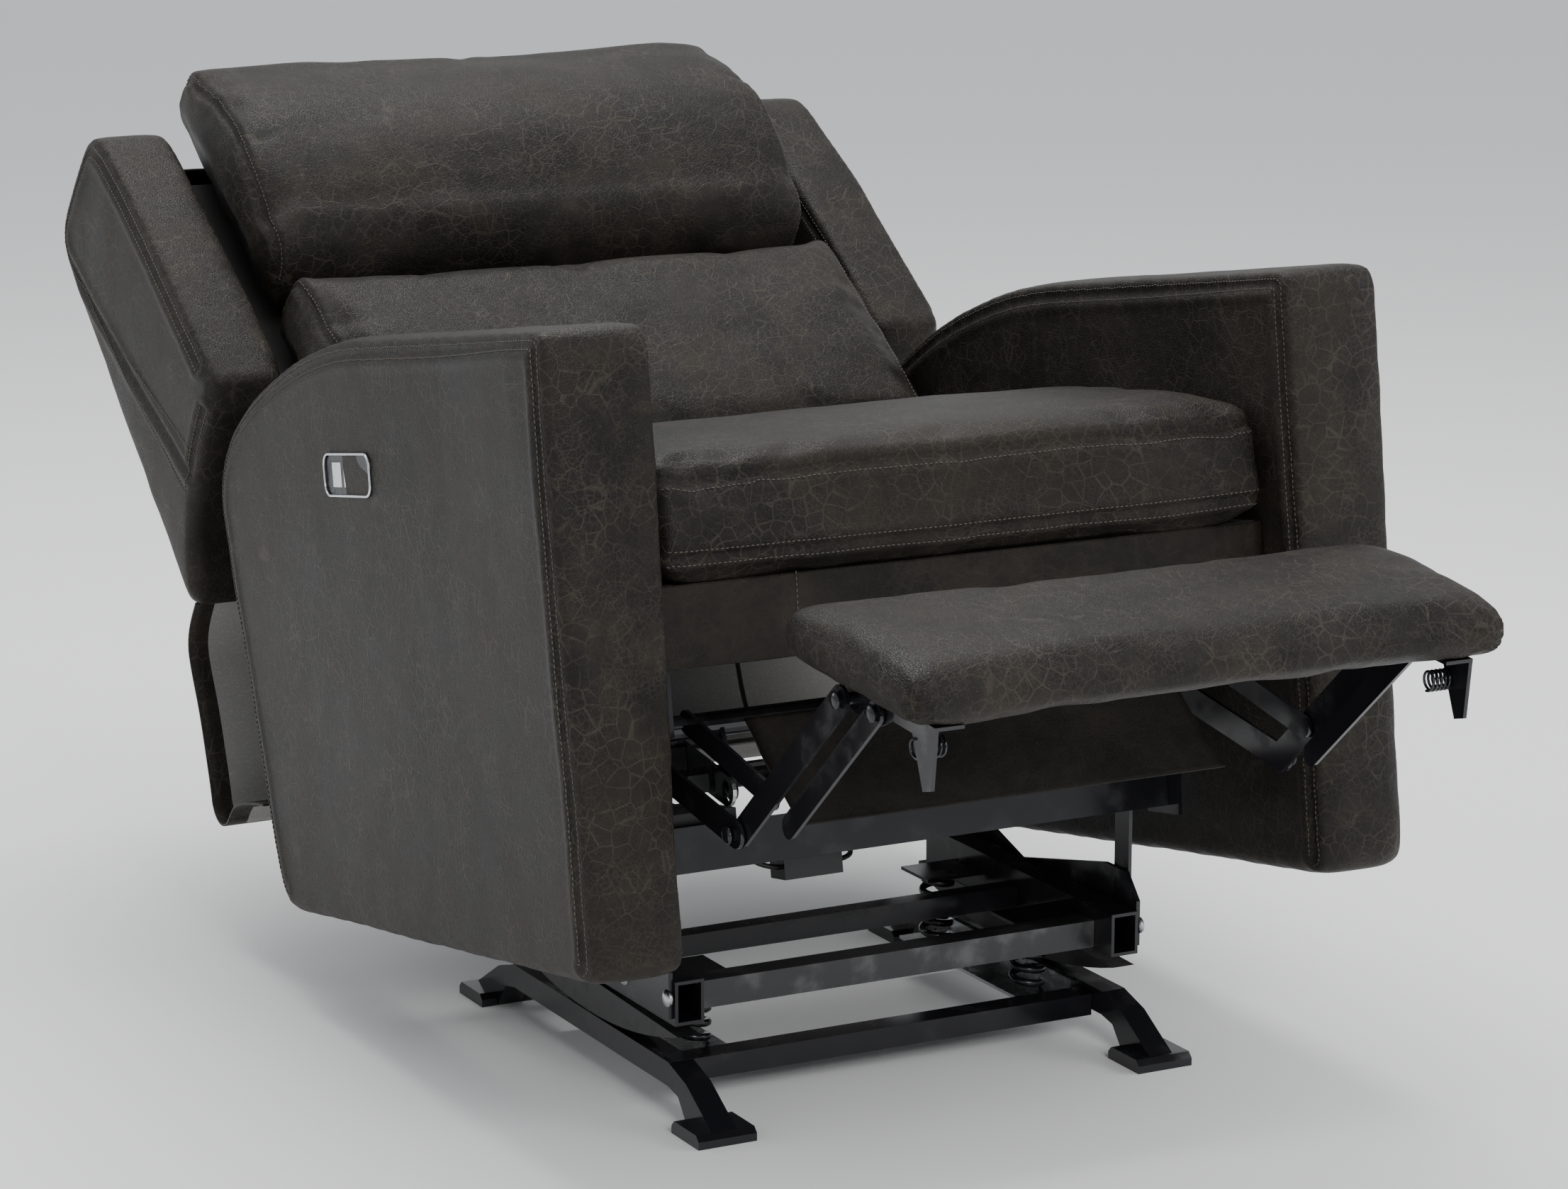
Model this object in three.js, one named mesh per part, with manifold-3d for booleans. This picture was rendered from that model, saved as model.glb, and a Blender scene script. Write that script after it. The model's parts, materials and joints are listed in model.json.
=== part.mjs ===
// Power rocker recliner armchair, shown reclined with its footrest out.
// Millimetres, +Z up. The chair faces -Y and +X is to the right of someone looking at its front.
// Everything on the seat frame is drawn as it stands with the chair upright, then tilted about the tilt tube.
// The origin is the middle of the chair's bounding box, at floor level.

import * as THREE from 'three';
import { mergeVertices } from 'three/addons/utils/BufferGeometryUtils.js';
import Module from 'manifold-3d';

const wasm = await Module();
wasm.setup();

// ---------------------------------------------------------------- driving dimensions

const OVERALL_WIDTH = 800;      // outside of one arm to outside of the other
const ARM_WIDTH = 91;
const ARM_FRONT_Y = -463;
const ARM_BOTTOM_Z = 101;
const ARM_TOP_Z = 635;
const ARM_REAR_Y = 314;         // furthest back point of the arm
const ARM_EDGE = 16;            // rounding of the padded arm's long edges

const SOFT_GAP = 3;             // between soft pieces that lie side by side
const FIT_GAP = 0.4;            // between hard pieces that touch

const BODY_TILT = 9.5;          // degrees that the seat frame leans back when reclined
const BACK_LEAN = 47.4;         // degrees from the seat frame's vertical, reclined
const RECLINE_TRAVEL = 31;      // degrees from reclined to upright

const TILT_AXIS = { y: 105, z: 190 };       // centre of the tilt tube
const RECLINE_AXIS = { y: 183, z: 410 };    // pins that the back turns on, chair upright

const SEAT_FRONT_Y = -434;
const SEAT_BOTTOM_Z = 418;
const SEAT_THICKNESS = 96;      // at the front face
const SEAT_CROWN = 26;
const DECK_HEIGHT = 43;         // springs and frame under the seat cushion
const SEAT_REAR_CLEARANCE = 132;  // radius about the recline axis that the back's foot sweeps
const SEAT_REAR_DROP = 14;      // rear top edge below the front top edge

const BACK_CUSHION_HEIGHT = 332;  // from the recline axis, along the back
const BACK_CUSHION_DEPTH = 112;
const BACK_HEIGHT = 622;
const HEADREST_BOTTOM = 345;
const HEADREST_TOP = 660;
const HEADREST_DEPTH = 108;
const HEADREST_CROWN = 24;
const HEADREST_AXIS = { y: -40, z: 362 };   // in the back's own frame
const HEADREST_TRAVEL = 18;     // degrees forward
const WING_WIDTH = 80;
const WING_FRONT = -58;          // a wing's front face, ahead of the recline axis
const BACK_THICKNESS_TOP = 115;
const BACK_THICKNESS_FOOT = 182;
const BACK_FOOT = 161;

const SIDE_PLATE_X = 276;       // inner face of each seat frame side plate
const PLATE = 4;                // mechanism plate thickness
const LAYER = 5;                // spacing between neighbouring links
const LINK = 3.5;               // link thickness
const LINK_RADIUS = 12;
const PIN_RADIUS = 5;
const PIN_CLEARANCE = 0.6;

const FOOTREST_LINK = 225;      // rear link and front link, pin to pin
const TORQUE_AXIS = { y: -255, z: 281 };    // torque tube that swings the rear links
const TORQUE_RADIUS = 11;
const FOOTREST_OUT = 408.2;     // torque tube to footrest pin, footrest out
const FOOTREST_IN = 164.3;      // the same distance, footrest tucked in
const FOOTREST_RISE = 7.2;      // degrees that the footrest pin's path climbs towards the front
const UPPER_LINK_AT = 60;       // along the front link from the knee
const UPPER_LINK_DROP = 130;    // from that pivot's chord to the frame pivot
const PAD_WIDTH = 590;
const PAD_DEPTH = 228;
const PAD_THICKNESS = 44;
const PAD_SLOPE = 14;           // degrees, front edge lower, measured on the seat frame
const PAD_ABOVE_PIN = 57.3;     // top face above the footrest pin
const PAD_BEHIND_PIN = 84;

const RAIL_X = SIDE_PLATE_X - 56;   // middle of each base rail, inboard of the side plates
const RAIL_WIDTH = 24;
const RAIL_BOTTOM_Z = 28;
const RAIL_TOP_Z = 50;
const RAIL_FRONT_Y = -262;
const RAIL_REAR_Y = 62;
const RAIL_WALL = 3;
const FOOT_FRONT_Y = -352;
const FOOT_REAR_Y = 150;
const FOOT_LENGTH = 52;
const FOOT_WIDTH = 56;
const FOOT_HEIGHT = 12;

const ROCKER_RADIUS = 620;
const ROCKER_Y = -100;          // where the rocker cams rest on the rails
const ROCK_TRAVEL = 6;          // degrees each way
const CAM_HALF_LENGTH = 180;
const CAM_TOP_Z = 87;
const CHANNEL_TOP_Z = 127;
const CHANNEL_WALL = 3;
const CROSSBAR = 25;
const TILT_TUBE_RADIUS = 12;

const COIL_RADIUS = 15;
const COIL_WIRE = 3;
const COIL_TURNS = 5;
const COIL_X = RAIL_X - 48;
const COIL_FRONT_Y = -188;
const COIL_REAR_Y = -20;
const SPRING_SEAT_Z = 36;

const BEZEL = { y: -26, z: 515, length: 108, height: 40, depth: 12 };
const BUTTON = { length: 20, height: 22, spacing: 26, travel: 1.5 };

const CABLE_RADIUS = 2.4;

// ---------------------------------------------------------------- materials

const material = (color, roughness, metalness) =>
  new THREE.MeshStandardMaterial({ color, roughness, metalness });

const leather = material(0x3a332d, 0.55, 0);
const blackSteel = material(0x121316, 0.4, 0.8);
const barSteel = material(0x55585c, 0.45, 0.9);
const zinc = material(0xa9adb0, 0.35, 1);
const blackPlastic = material(0x15151a, 0.5, 0);
const chrome = material(0xc9ced4, 0.2, 1);
const darkMetal = material(0x3b3e44, 0.35, 0.9);
const wood = material(0x9a7b55, 0.8, 0);
const greyCloth = material(0x8f8c88, 0.9, 0);
const cableSkin = material(0x101010, 0.6, 0);

// ---------------------------------------------------------------- geometry helpers

const degrees = THREE.MathUtils.degToRad;
const ACROSS = new THREE.Matrix4().set(0, 0, 1, 0, 1, 0, 0, 0, 0, 1, 0, 0, 0, 0, 0, 1);

// A closed outline from [a, b] corners.
const outline = (corners) => new THREE.Shape(corners.map(([a, b]) => new THREE.Vector2(a, b)));

// A closed loop of points with no two neighbours in the same place.
const clean = (points) => points.filter((p, i) => p.distanceTo(points.at(i - 1)) > 0.01);

// An outline in (y, z), extruded across the chair from x = start to x = end.
function across(shape, start, end, edge = 0, curveSegments = 4) {
  const loops = shape.extractPoints(curveSegments);
  const traced = new THREE.Shape(clean(loops.shape));
  traced.holes = loops.holes.map((hole) => new THREE.Path(clean(hole)));
  const geometry = new THREE.ExtrudeGeometry(traced, {
    depth: end - start - 2 * edge,
    bevelEnabled: edge > 0,
    bevelThickness: edge,
    bevelSize: edge,
    bevelOffset: -edge,
    bevelSegments: 2,
  });
  return geometry.translate(0, 0, start + edge).applyMatrix4(ACROSS);
}

// The same outline on one side of the chair, between two distances from the middle.
function onSide(side, shape, inner, outer, edge = 0, curveSegments = 4) {
  return side > 0
    ? across(shape, inner, outer, edge, curveSegments)
    : across(shape, -outer, -inner, edge, curveSegments);
}

function box(x0, x1, y0, y1, z0, z1) {
  const geometry = new THREE.BoxGeometry(x1 - x0, y1 - y0, z1 - z0);
  return geometry.translate((x0 + x1) / 2, (y0 + y1) / 2, (z0 + z1) / 2);
}

// A box on one side, between two distances from the middle.
function sideBox(side, inner, outer, y0, y1, z0, z1) {
  return side > 0 ? box(inner, outer, y0, y1, z0, z1) : box(-outer, -inner, y0, y1, z0, z1);
}

// A round bar across the chair.
function rod(x0, x1, at, radius, segments = 12) {
  const geometry = new THREE.CylinderGeometry(radius, radius, Math.abs(x1 - x0), segments);
  return geometry.rotateZ(Math.PI / 2).translate((x0 + x1) / 2, at.y, at.z);
}

// A link's outline: round ends about two pins, with a hole at each end that asks for one.
function linkShape(from, to, radius, holes = []) {
  const heading = Math.atan2(to.z - from.z, to.y - from.y);
  const shape = new THREE.Shape();
  shape.absarc(from.y, from.z, radius, heading + Math.PI / 2, heading + 1.5 * Math.PI, false);
  shape.absarc(to.y, to.z, radius, heading - Math.PI / 2, heading + Math.PI / 2, false);
  shape.closePath();
  for (const hole of holes) {
    const ring = new THREE.Path();
    ring.absarc(hole.y, hole.z, hole.radius, 0, 2 * Math.PI, true);
    shape.holes.push(ring);
  }
  return shape;
}

const pinHole = (at, radius = PIN_RADIUS) => ({ ...at, radius: radius + PIN_CLEARANCE });

// The outline of a sheet of even thickness that follows a centre line.
function sheetShape(line, thickness) {
  const points = line.map(([a, b]) => new THREE.Vector2(a, b));
  const offset = (i, distance) => {
    const before = points[Math.max(i - 1, 0)];
    const after = points[Math.min(i + 1, points.length - 1)];
    const normal = after.clone().sub(before).normalize();
    return points[i].clone().add(new THREE.Vector2(-normal.y, normal.x).multiplyScalar(distance));
  };
  const left = points.map((_, i) => offset(i, thickness / 2));
  const right = points.map((_, i) => offset(i, -thickness / 2)).reverse();
  return new THREE.Shape([...left, ...right]);
}

function solidOf(geometry) {
  const bare = new THREE.BufferGeometry().setAttribute('position', geometry.getAttribute('position'));
  if (geometry.index) bare.setIndex(geometry.index);
  const merged = mergeVertices(bare, 1e-4);
  return new wasm.Manifold(new wasm.Mesh({
    numProp: 3,
    vertProperties: merged.attributes.position.array,
    triVerts: new Uint32Array(merged.index.array),
  }));
}

function geometryOf(solid) {
  const mesh = solid.getMesh();
  const geometry = new THREE.BufferGeometry();
  geometry.setAttribute('position', new THREE.BufferAttribute(new Float32Array(mesh.vertProperties), 3));
  geometry.setIndex(new THREE.BufferAttribute(new Uint32Array(mesh.triVerts), 1));
  geometry.computeVertexNormals();
  return geometry;
}

const join = (...pieces) => geometryOf(pieces.map(solidOf).reduce((all, next) => all.add(next)));
const cut = (piece, ...tools) =>
  geometryOf(tools.map(solidOf).reduce((rest, tool) => rest.subtract(tool), solidOf(piece)));

function tube(points, radius, sides, steps) {
  const curve = new THREE.CatmullRomCurve3(points.map((p) => new THREE.Vector3(...p)));
  const section = new THREE.Shape();
  section.setFromPoints(Array.from({ length: sides }, (_, i) => {
    const turn = (2 * Math.PI * i) / sides;
    return new THREE.Vector2(radius * Math.cos(turn), radius * Math.sin(turn));
  }));
  return new THREE.ExtrudeGeometry(section, { steps, extrudePath: curve, bevelEnabled: false });
}

function add(parent, name, geometry, finish) {
  const mesh = new THREE.Mesh(geometry, finish);
  mesh.name = name;
  parent.add(mesh);
  return mesh;
}

// The two sides of the chair: +1 is to +X.
const SIDES = [['right', 1], ['left', -1]];

// ---------------------------------------------------------------- base, on the floor

const railInner = RAIL_X - RAIL_WIDTH / 2;
const railOuter = RAIL_X + RAIL_WIDTH / 2;

// A rail is a channel, open below, that runs into a stamped leg and pad at each end.
function baseRail(side) {
  const channel = cut(
    sideBox(side, railInner, railOuter, RAIL_FRONT_Y, RAIL_REAR_Y, RAIL_BOTTOM_Z, RAIL_TOP_Z),
    sideBox(side, railInner + RAIL_WALL, railOuter - RAIL_WALL, RAIL_FRONT_Y + FOOT_HEIGHT,
      RAIL_REAR_Y - FOOT_HEIGHT, RAIL_BOTTOM_Z - 1, RAIL_TOP_Z - RAIL_WALL),
  );
  const leg = (railEnd, padInner, padOuter) => onSide(side, outline([
    [railEnd, RAIL_TOP_Z],
    [railEnd + (padInner - railEnd) * 0.9, RAIL_TOP_Z - 10],
    [padOuter, FOOT_HEIGHT],
    [padOuter, 0],
    [padInner, 0],
    [railEnd + (padInner - railEnd) * 0.5, RAIL_BOTTOM_Z - 4],
    [railEnd, RAIL_BOTTOM_Z],
  ]), railInner, railOuter);
  const pad = (y0, y1) => onSide(side, outline([
    [y0, 0], [y1, 0], [y1, FOOT_HEIGHT - 5], [y1 - 5, FOOT_HEIGHT],
    [y0 + 5, FOOT_HEIGHT], [y0, FOOT_HEIGHT - 5],
  ]), RAIL_X - FOOT_WIDTH / 2, RAIL_X + FOOT_WIDTH / 2);
  const frontPadRear = FOOT_FRONT_Y + FOOT_LENGTH;
  const rearPadFront = FOOT_REAR_Y - FOOT_LENGTH;
  return join(
    channel,
    leg(RAIL_FRONT_Y + 1, frontPadRear, FOOT_FRONT_Y + 8),
    leg(RAIL_REAR_Y - 1, rearPadFront, FOOT_REAR_Y - 8),
    pad(FOOT_FRONT_Y, frontPadRear),
    pad(rearPadFront, FOOT_REAR_Y),
  );
}

// An angle bar that ties the two rails together behind the front feet.
function frontFloorBar() {
  const y = RAIL_FRONT_Y + 17;
  const end = railInner - FIT_GAP;
  return join(
    box(-end, end, y, y + CROSSBAR, RAIL_TOP_Z - 10, RAIL_TOP_Z - 7),
    box(-end, end, y, y + 3, RAIL_TOP_Z - 27, RAIL_TOP_Z - 7),
  );
}

const seatInner = COIL_X - COIL_RADIUS - COIL_WIRE - 6;

// A shelf inside each rail that the two coil springs stand on.
function springSeat(side) {
  const end = railInner - FIT_GAP;
  const shelfFront = COIL_FRONT_Y - 28;
  const shelfRear = COIL_REAR_Y + 28;
  return join(
    sideBox(side, seatInner, end, shelfFront, shelfRear, SPRING_SEAT_Z, SPRING_SEAT_Z + 3),
    sideBox(side, end - 3, end, shelfFront, shelfRear, RAIL_BOTTOM_Z + 2, RAIL_TOP_Z - 2),
  );
}

const coilBottom = SPRING_SEAT_Z + 3 + COIL_WIRE + FIT_GAP;
const springCapZ = CAM_TOP_Z + 18;
const coilTop = springCapZ - COIL_WIRE - FIT_GAP;

function coilSpring(side, y) {
  const stepsPerTurn = 9;
  const count = COIL_TURNS * stepsPerTurn;
  const points = Array.from({ length: count + 1 }, (_, i) => {
    const turn = (2 * Math.PI * i) / stepsPerTurn;
    const z = coilBottom + ((coilTop - coilBottom) * i) / count;
    return [side * COIL_X + COIL_RADIUS * Math.cos(turn), y + COIL_RADIUS * Math.sin(turn), z];
  });
  return tube(points, COIL_WIRE, 5, count);
}

function makeBase(chair) {
  for (const [word, side] of SIDES) {
    add(chair, `base_rail_${word}`, baseRail(side), blackSteel);
    add(chair, `spring_seat_${word}`, springSeat(side), zinc);
    add(chair, `rocker_spring_front_${word}`, coilSpring(side, COIL_FRONT_Y), blackSteel);
    add(chair, `rocker_spring_rear_${word}`, coilSpring(side, COIL_REAR_Y), blackSteel);
  }
  add(chair, 'front_floor_bar', frontFloorBar(), blackSteel);
}

// ---------------------------------------------------------------- rocker chassis

const camCentreZ = RAIL_TOP_Z + FIT_GAP + ROCKER_RADIUS;
const channelInner = railInner - 2;
const channelOuter = railOuter + 2;
const channelBottomZ = CAM_TOP_Z + FIT_GAP;
const channelFrontY = ROCKER_Y - CAM_HALF_LENGTH;
const channelRearY = ROCKER_Y + CAM_HALF_LENGTH - 20;

// A cam's underside is an arc about the rock axis.
function rockerCam(side) {
  const shape = new THREE.Shape();
  const half = Math.asin(CAM_HALF_LENGTH / ROCKER_RADIUS);
  shape.moveTo(ROCKER_Y - CAM_HALF_LENGTH, CAM_TOP_Z);
  shape.absarc(ROCKER_Y, camCentreZ, ROCKER_RADIUS, -Math.PI / 2 - half, -Math.PI / 2 + half, false);
  shape.lineTo(ROCKER_Y + CAM_HALF_LENGTH, CAM_TOP_Z);
  shape.closePath();
  return onSide(side, shape, railInner + 1, railOuter - 1, 0, 8);
}

// A box channel over each cam, with a cap plate that holds the tops of the coil springs.
function camChannel(side) {
  const capPlate = (y) =>
    sideBox(side, seatInner, channelInner + 1, y - 26, y + 26, springCapZ, springCapZ + CHANNEL_WALL);
  const tubeWall = cut(
    sideBox(side, channelInner, channelOuter, channelFrontY, channelRearY, channelBottomZ, CHANNEL_TOP_Z),
    sideBox(side, channelInner + CHANNEL_WALL, channelOuter - CHANNEL_WALL, channelFrontY - 1,
      channelRearY + 1, channelBottomZ + CHANNEL_WALL, CHANNEL_TOP_Z - CHANNEL_WALL),
  );
  return join(tubeWall, capPlate(COIL_FRONT_Y), capPlate(COIL_REAR_Y));
}

const LIFT_AXIS = { y: -242, z: 142 };
const LIFT_LENGTH = 96;
const riserInner = channelOuter + FIT_GAP;

// A stamped plate on the outside of each channel, which rises to the tilt tube.
function riserPlate(side) {
  const front = channelFrontY + 4;
  const shape = outline([
    [front, channelBottomZ + 6], [front, CHANNEL_TOP_Z + 8], [LIFT_AXIS.y - 14, LIFT_AXIS.z + 16],
    [LIFT_AXIS.y + 22, LIFT_AXIS.z + 16], [-70, CHANNEL_TOP_Z - 2], [20, CHANNEL_TOP_Z + 26],
    [TILT_AXIS.y - 24, TILT_AXIS.z + 18], [TILT_AXIS.y, TILT_AXIS.z + 26],
    [TILT_AXIS.y + 24, TILT_AXIS.z + 12],
    [TILT_AXIS.y + 20, TILT_AXIS.z - 26], [channelRearY, channelBottomZ + 6],
  ]);
  const plate = onSide(side, shape, riserInner, riserInner + PLATE);
  const bore = (at, radius, segments) =>
    rod(side * (riserInner - 1), side * (riserInner + PLATE + 1), at, radius + PIN_CLEARANCE, segments);
  return cut(plate, bore(TILT_AXIS, TILT_TUBE_RADIUS, 16), bore(LIFT_AXIS, PIN_RADIUS, 12));
}

// A square bar between the channels.
function crossbar(y, z, size) {
  const end = channelInner - FIT_GAP;
  return box(-end, end, y - size / 2, y + size / 2, z - size / 2, z + size / 2);
}

function makeRocker(chair) {
  for (const [word, side] of SIDES) {
    add(chair, `rocker_cam_${word}`, rockerCam(side), blackPlastic);
    add(chair, `cam_channel_${word}`, camChannel(side), blackSteel);
    add(chair, `riser_plate_${word}`, riserPlate(side), blackSteel);
  }
  const barZ = channelBottomZ + CROSSBAR / 2 + 2;
  add(chair, 'middle_bar', crossbar(COIL_FRONT_Y - 50, barZ, CROSSBAR), barSteel);
  add(chair, 'rear_bar', crossbar(ROCKER_Y - 4, barZ, CROSSBAR - 5), blackSteel);
  const reach = SIDE_PLATE_X + PLATE + 3;
  add(chair, 'tilt_tube', rod(-reach, reach, TILT_AXIS, TILT_TUBE_RADIUS, 16), blackSteel);
}

// A lift link on each side turns on the riser plate; its upper pin stops short of the side plate.
function makeLiftLinks(chair) {
  const inner = riserInner + PLATE + FIT_GAP;
  const top = { y: LIFT_AXIS.y, z: LIFT_AXIS.z + LIFT_LENGTH };
  for (const [word, side] of SIDES) {
    add(chair, `lift_link_${word}`, join(
      onSide(side, linkShape(LIFT_AXIS, top, LINK_RADIUS), inner, inner + LINK),
      rod(side * (riserInner + 1), side * (inner + 1), LIFT_AXIS, PIN_RADIUS),
      rod(side * (inner + 1), side * (SIDE_PLATE_X - 2), top, PIN_RADIUS),
    ), blackSteel);
  }
}

// ---------------------------------------------------------------- footrest linkage, solved footrest out

const polar = (from, angle, distance) => ({
  y: from.y + distance * Math.cos(angle),
  z: from.z + distance * Math.sin(angle),
});
const headingOf = (from, to) => Math.atan2(to.z - from.z, to.y - from.y);
const turned = (point, about, angle) => {
  const y = point.y - about.y;
  const z = point.z - about.z;
  return {
    y: about.y + y * Math.cos(angle) - z * Math.sin(angle),
    z: about.z + y * Math.sin(angle) + z * Math.cos(angle),
  };
};

// The footrest pin runs on a straight line through the torque tube; the knee hangs below it.
function linkagePose(reach) {
  const path = Math.PI - degrees(FOOTREST_RISE);
  const fold = Math.acos(reach / (2 * FOOTREST_LINK));
  const pin = polar(TORQUE_AXIS, path, reach);
  const knee = polar(TORQUE_AXIS, path + fold, FOOTREST_LINK);
  return { pin, knee, fold, upper: polar(knee, headingOf(knee, pin), UPPER_LINK_AT) };
}

const linkageOut = linkagePose(FOOTREST_OUT);
const linkageIn = linkagePose(FOOTREST_IN);
const { pin: FOOTREST_PIN, knee: KNEE, upper: UPPER_PIN } = linkageOut;
const REAR_LINK_TURN = linkageIn.fold - linkageOut.fold;

// The upper link's frame pivot is as far from its far pin with the footrest out as with it in.
const UPPER_AXIS = (() => {
  const chord = headingOf(linkageOut.upper, linkageIn.upper);
  const middle = {
    y: (linkageOut.upper.y + linkageIn.upper.y) / 2,
    z: (linkageOut.upper.z + linkageIn.upper.z) / 2,
  };
  return polar(middle, chord + Math.PI / 2, UPPER_LINK_DROP);
})();
const UPPER_LINK_TURN = (() => {
  const turn = headingOf(UPPER_AXIS, linkageIn.upper) - headingOf(UPPER_AXIS, linkageOut.upper);
  return turn < 0 ? turn + 2 * Math.PI : turn;
})();
const FOOTREST_TURN = degrees(90 - PAD_SLOPE);

const frontHeading = headingOf(KNEE, FOOTREST_PIN);
const padHeading = Math.PI + degrees(PAD_SLOPE);      // along the pad, towards its front
const PARALLEL_PIN = polar(FOOTREST_PIN, padHeading, 39);
const PARALLEL_END = polar(PARALLEL_PIN, frontHeading + Math.PI, 190);
const FLAP_LENGTH = 92;
const FLAP_THICKNESS = 17;
const FLAP_TUCK = 92;           // degrees that the flap swings down from level as the footrest tucks in
const FLAP_AXIS = polar(polar(FOOTREST_PIN, padHeading + Math.PI, 62), padHeading - Math.PI / 2, 4);

// The outer face of the nth link layer in from the side plate.
const layerOf = (n) => SIDE_PLATE_X - 3 - LAYER * n;
const REAR_LAYER = layerOf(1);
const FRONT_LAYER = layerOf(2);
const UPPER_LAYER = layerOf(3);
const PARALLEL_LAYER = layerOf(4);
const BRACKET_LAYER = layerOf(5);

function inLayer(side, shape, layer) {
  return onSide(side, shape, layer - LINK, layer);
}

const CRANK_X = 107 - SIDE_PLATE_X;
const CRANK_LENGTH = 60;
const crankPin = polar(TORQUE_AXIS, degrees(-110), CRANK_LENGTH);

// Rear links, on a torque tube between the side plates.
function makeRearLinks(body) {
  for (const [word, side] of SIDES) {
    add(body, `rear_link_${word}`, join(
      inLayer(side, linkShape(TORQUE_AXIS, KNEE, LINK_RADIUS, [pinHole(KNEE)]), REAR_LAYER),
      rod(side * (REAR_LAYER - 1), side * (SIDE_PLATE_X + PLATE + 3), TORQUE_AXIS, PIN_RADIUS),
    ), blackSteel);
  }
  const end = REAR_LAYER - LINK - FIT_GAP;
  add(body, 'torque_tube', join(
    rod(-end, end, TORQUE_AXIS, TORQUE_RADIUS, 16),
    across(linkShape(TORQUE_AXIS, crankPin, LINK_RADIUS - 3), CRANK_X - PLATE, CRANK_X),
    rod(CRANK_X - PLATE - 6, CRANK_X - 1, crankPin, PIN_RADIUS - 1),
  ), blackSteel);
}

const VALANCE_HALF_WIDTH = BRACKET_LAYER - LINK - 37.5;

// A leather apron under the footrest: it hangs from behind the pad to the knees.
function makeValance(body) {
  const top = { y: TORQUE_AXIS.y - 127, z: TORQUE_AXIS.z + 15 };
  add(body, 'valance', across(sheetShape([
    [top.y, top.z],
    [(top.y + KNEE.y) / 2 - 4, (top.z + KNEE.z) / 2 - 4],
    [KNEE.y, KNEE.z],
  ], 5), -VALANCE_HALF_WIDTH, VALANCE_HALF_WIDTH), leather);
}

function makeFrontLinks(body) {
  for (const [word, side] of SIDES) {
    add(body, `front_link_${word}`, join(
      inLayer(side, linkShape(KNEE, FOOTREST_PIN, LINK_RADIUS, [pinHole(FOOTREST_PIN)]), FRONT_LAYER),
      rod(side * (FRONT_LAYER - 1), side * (REAR_LAYER + 2), KNEE, PIN_RADIUS),
    ), blackSteel);
  }
}

function makeUpperLinks(body) {
  for (const [word, side] of SIDES) {
    add(body, `upper_link_${word}`, join(
      inLayer(side, linkShape(UPPER_AXIS, UPPER_PIN, LINK_RADIUS - 2), UPPER_LAYER),
      rod(side * (UPPER_LAYER - 1), side * (SIDE_PLATE_X + PLATE + 3), UPPER_AXIS, PIN_RADIUS),
    ), blackSteel);
  }
}

function makeParallelLinks(body) {
  for (const [word, side] of SIDES) {
    add(body, `parallel_link_${word}`, inLayer(
      side, linkShape(PARALLEL_PIN, PARALLEL_END, LINK_RADIUS - 2, [pinHole(PARALLEL_PIN)]), PARALLEL_LAYER,
    ), blackSteel);
  }
}

// A point on the footrest: along the pad from its pin towards the front, and up from the pin.
const onPad = (forward, up) => {
  const p = polar(polar(FOOTREST_PIN, padHeading, forward), padHeading - Math.PI / 2, up);
  return [p.y, p.z];
};

function footrestPad() {
  const rear = -PAD_BEHIND_PIN;
  const front = PAD_DEPTH - PAD_BEHIND_PIN;
  const under = PAD_ABOVE_PIN - PAD_THICKNESS;
  const r = PAD_THICKNESS * 0.36;
  return across(outline([
    onPad(rear, under + r), onPad(rear + r, under), onPad(front - r, under),
    onPad(front - r * 0.3, under + r * 0.3),
    onPad(front, under + r), onPad(front - r * 0.3, PAD_ABOVE_PIN - r * 0.4), onPad(front - r, PAD_ABOVE_PIN),
    onPad(front / 2, PAD_ABOVE_PIN + 3), onPad(rear + r, PAD_ABOVE_PIN), onPad(rear, PAD_ABOVE_PIN - r),
  ]), -PAD_WIDTH / 2, PAD_WIDTH / 2, 12);
}

// An angle bracket under each end of the pad: it carries both link pins and ends in the lock plate.
function footrestBracket(side) {
  const under = PAD_ABOVE_PIN - PAD_THICKNESS - FIT_GAP;
  const tip = PAD_DEPTH - PAD_BEHIND_PIN - 34;
  const web = outline([
    onPad(-16, under), onPad(-14, -8), onPad(0, -12), onPad(39, -12), onPad(58, under - 14),
    onPad(tip - 20, under - 14), onPad(tip, -42), onPad(tip + 12, -38), onPad(tip + 14, under),
  ]);
  const flange = outline([
    onPad(-16, under), onPad(-16, under - 3), onPad(tip + 14, under - 3), onPad(tip + 14, under),
  ]);
  const parallelPin = rod(side * (BRACKET_LAYER - 1), side * (PARALLEL_LAYER + 2), PARALLEL_PIN, PIN_RADIUS);
  return join(
    inLayer(side, web, BRACKET_LAYER),
    onSide(side, flange, BRACKET_LAYER - 26, BRACKET_LAYER),
    rod(side * (BRACKET_LAYER - 1), side * (FRONT_LAYER + 2), FOOTREST_PIN, PIN_RADIUS),
    parallelPin,
  );
}

function makeFootrest(body) {
  add(body, 'footrest_pad', footrestPad(), leather);
  for (const [word, side] of SIDES) {
    add(body, `footrest_bracket_${word}`, footrestBracket(side), blackSteel);
  }
}

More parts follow.
